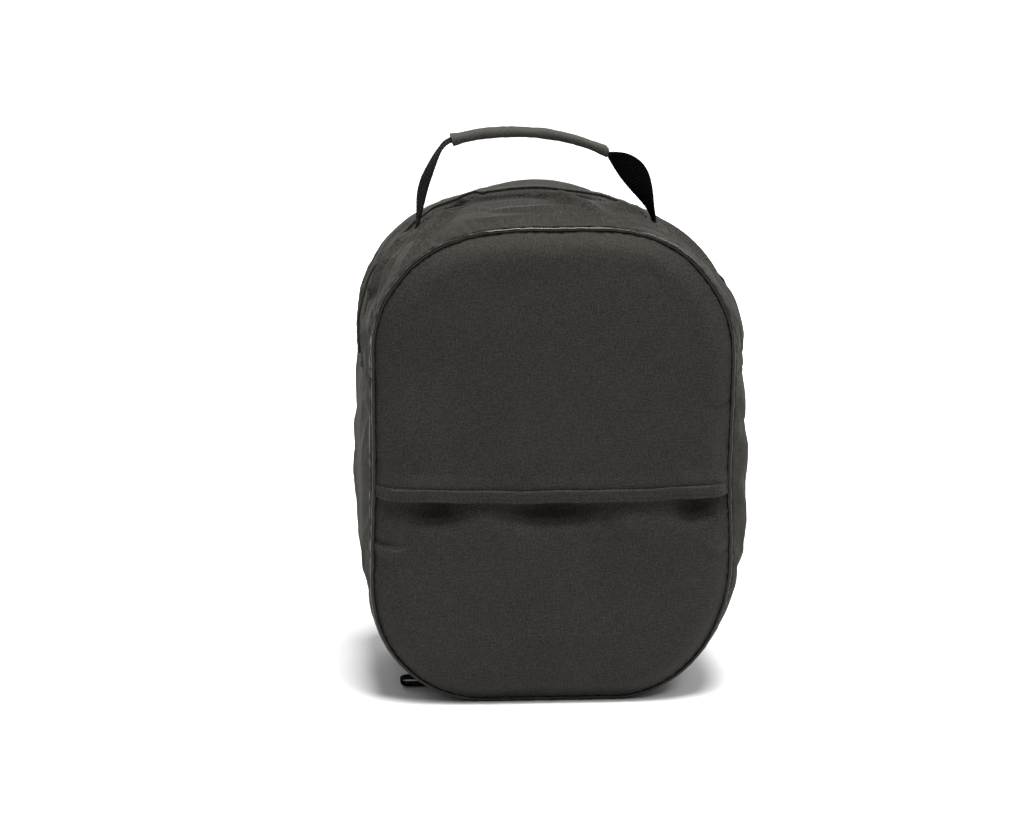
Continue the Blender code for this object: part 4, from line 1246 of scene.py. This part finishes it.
def build_loop():
    low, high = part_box("pull_loop")
    path, length = smooth_path(LOOP_LINE, 0.0006)
    made = strap("pull_loop_webbing", path, length, (low.y + high.y) / 2, high.y - low.y, 0.0013, 0.00012)
    for vertex in made.data.vertices:
        vertex.co.z = max(vertex.co.z, FLOOR_GAP)
    attach(made, ["pull_loop"], "loop")


# Stitches

STITCH_GAP = 0.0011


def capsule(start, end, radius, up):
    """One stitch: points of a thin capsule sunk a little in the cloth, in 5 rings of 6."""
    side = np.cross(end - start, up)
    side /= np.linalg.norm(side)
    rings = ((0.0, 0.35, -0.35), (0.18, 0.9, 0.25), (0.5, 1.0, 0.45), (0.82, 0.9, 0.25), (1.0, 0.35, -0.35))
    points = []
    for share, size, lift in rings:
        centre = start + (end - start) * share + up * radius * lift
        for angle in np.arange(6) * math.pi / 3:
            points.append(centre + (side * math.cos(angle) + up * math.sin(angle)) * radius * size)
    return points


def stitch_row(name, points, normals, body, pitch=0.0036):
    """Stitches along a line on the cloth."""
    length = along_path(points)[1]

    def at(place, values):
        return np.array([np.interp(place, length, values[:, k]) for k in range(3)])

    spots, faces = [], []
    for start in np.arange(STITCH_GAP, length[-1] - pitch, pitch):
        first = len(spots)
        end = at(start + pitch - STITCH_GAP, points)
        spots += capsule(at(start, points), end, 0.00026, at(start, normals))
        faces += grid_faces(5, 6, first, closed_columns=True)
        faces += [tuple(range(first + 5, first - 1, -1)), tuple(range(first + 24, first + 30))]
    spots = np.array(spots)
    attach(mesh_object(name, spots, faces, [THREAD], spots[:, [0, 2]]), [], body)


def surface_row(target, x_values, z_values):
    """Points where lines from the front first meet a piece's mesh, and the direction out of it."""
    hits = [target.ray_cast(Vector((x, -0.3, z)), Vector((0, 1, 0))) for x, z in zip(x_values, z_values)]
    return [np.array([tuple(hit[k]) for hit in hits if hit[0]]) for k in (1, 2)]


def build_stitches():
    hem = bpy.data.objects["pocket_flap_hem"]
    x = np.linspace(-HALF + 0.006, HALF - 0.006, 150)
    for row, height in (("low", 0.0028), ("high", 0.0097)):
        stitch_row("hem_stitches_" + row, *surface_row(hem, x, hem_low(x) + height), "hem")
    seam_u = u_between(SEAM_U, AROUND - SEAM_U, 0.003)
    flap_u = u_between(TAB_U + 0.004, AROUND - TAB_U - 0.004, 0.003)
    rows = (
        ("seam_stitches_front", FRONT_FLAP_Y - 0.0026, "lid_cloth", 0.0017, seam_u),
        ("seam_stitches_rear", REAR_FLAP_Y + 0.0026, "bag", 0.0017, seam_u),
        ("flap_stitches_front", SLIT_Y - 0.0075, "lid_cloth", 0.0, flap_u),
        ("flap_stitches_rear", SLIT_Y + 0.0075, "bag", 0.0, flap_u),
    )
    for name, y, body, lift, u in rows:
        face, normals = gusset_face(u, np.full_like(u, y))
        stitch_row(name, face + normals * lift, normals, body)
    turn = np.linspace(0, 2 * math.pi, 60)
    along, across = (0.72 * np.sign(wave) * np.abs(wave) ** 0.6 for wave in (np.cos(turn), np.sin(turn)))
    for side, half in FOOT_HALF_WIDE.items():
        u, y = foot_middle(side) + FOOT_HALF_LONG * along, FOOT_Y + half + half * across
        face, normals = gusset_face(u, y)
        stitch_row("foot_stitches_" + side, face + normals * 0.0008, normals, "lid", 0.0028)


# Carried-over CAD nodes


def dress(node, material):
    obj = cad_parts[node]
    for slot in obj.material_slots:
        slot.material = material


# Floor, light and camera


def facing(azimuth, elevation):
    """A direction from the bag: azimuth 0 is to its front, and 90 to its right."""
    a, e = math.radians(azimuth), math.radians(elevation)
    return Vector((math.sin(a) * math.cos(e), -math.cos(a) * math.cos(e), math.sin(e)))


def sun_light(name, azimuth, elevation, spread, strength):
    """A soft light from far away."""
    data = bpy.data.lights.new(name, "SUN")
    data.angle = math.radians(spread)
    data.energy = strength
    light = bpy.data.objects.new(name, data)
    light.rotation_euler = facing(azimuth, elevation).to_track_quat("Z", "Y").to_euler()
    bpy.context.scene.collection.objects.link(light)


def softbox(name, place, size, power):
    """A wide light that faces the bag and isn't itself seen."""
    data = bpy.data.lights.new(name, "AREA")
    data.shape = "RECTANGLE"
    data.size, data.size_y = size
    data.energy = power
    light = bpy.data.objects.new(name, data)
    light.location = place
    light.rotation_euler = (Vector((0, 0, 0.3)) - Vector(place)).to_track_quat("-Z", "Y").to_euler()
    light.visible_camera = False
    bpy.context.scene.collection.objects.link(light)


def build_stage():
    reach = 30.0
    points = [(-reach, -reach, 0), (reach, -reach, 0), (reach, reach, 0), (-reach, reach, 0)]
    paper = plain_floor("floor_paper", (0.62, 0.62, 0.62))
    mesh_object("floor_sheet", points, [(0, 1, 2, 3)], [paper])
    world = bpy.data.worlds.new("studio")
    bpy.context.scene.world = world
    world.use_nodes = True
    background = world.node_tree.nodes["Background"]
    background.inputs["Color"].default_value = (1, 1, 1, 1)
    background.inputs["Strength"].default_value = 0.36
    sun_light("key", 36, 50, 14, 0.95)
    sun_light("top", 20, 80, 24, 6.4)
    softbox("rear_softbox", (0.0, 1.9, 1.15), (2.6, 1.2), 42)
    bpy.context.scene.view_settings.view_transform = "Standard"


def build_camera():
    """The camera was fitted to the outline in the photograph, 2.3 m away."""
    focal = 3006.0  # in pixels of the photograph, which is 1024 wide
    roll = math.radians(0.70)
    back = facing(-5.6, 14.2)
    right = Vector((0, 0, 1)).cross(back).normalized()
    # The middle of the view is 29.7 px left of the target and 30.7 px above it, before the roll
    middle = Matrix.Rotation(roll, 2) @ Vector((-29.7, 30.7))
    aim = -back * focal + right * middle.x + back.cross(right) * middle.y
    data = bpy.data.cameras.new("photo_view")
    data.sensor_width = 36
    data.lens = 36 * focal / 1024
    data.clip_end = 60
    camera = bpy.data.objects.new("photo_view", data)
    turned = aim.to_track_quat("-Z", "Y").to_matrix().to_4x4() @ Matrix.Rotation(roll, 4, "Z")
    camera.matrix_world = Matrix.Translation(Vector((0, 0, 0.18)) + back * 2.3) @ turned
    bpy.context.scene.collection.objects.link(camera)
    bpy.context.scene.camera = camera


build_stage()
build_camera()
build_front()
build_pocket()
build_inner_walls()
build_rear()
build_piping()
build_tapes()
build_gusset()
build_zip()
build_stops()
build_handle()
build_feet()
build_loop()
build_stitches()
for metal in ("zip_slider", "zip_puller"):
    dress(metal, METAL)
dress("base_board", BOARD)
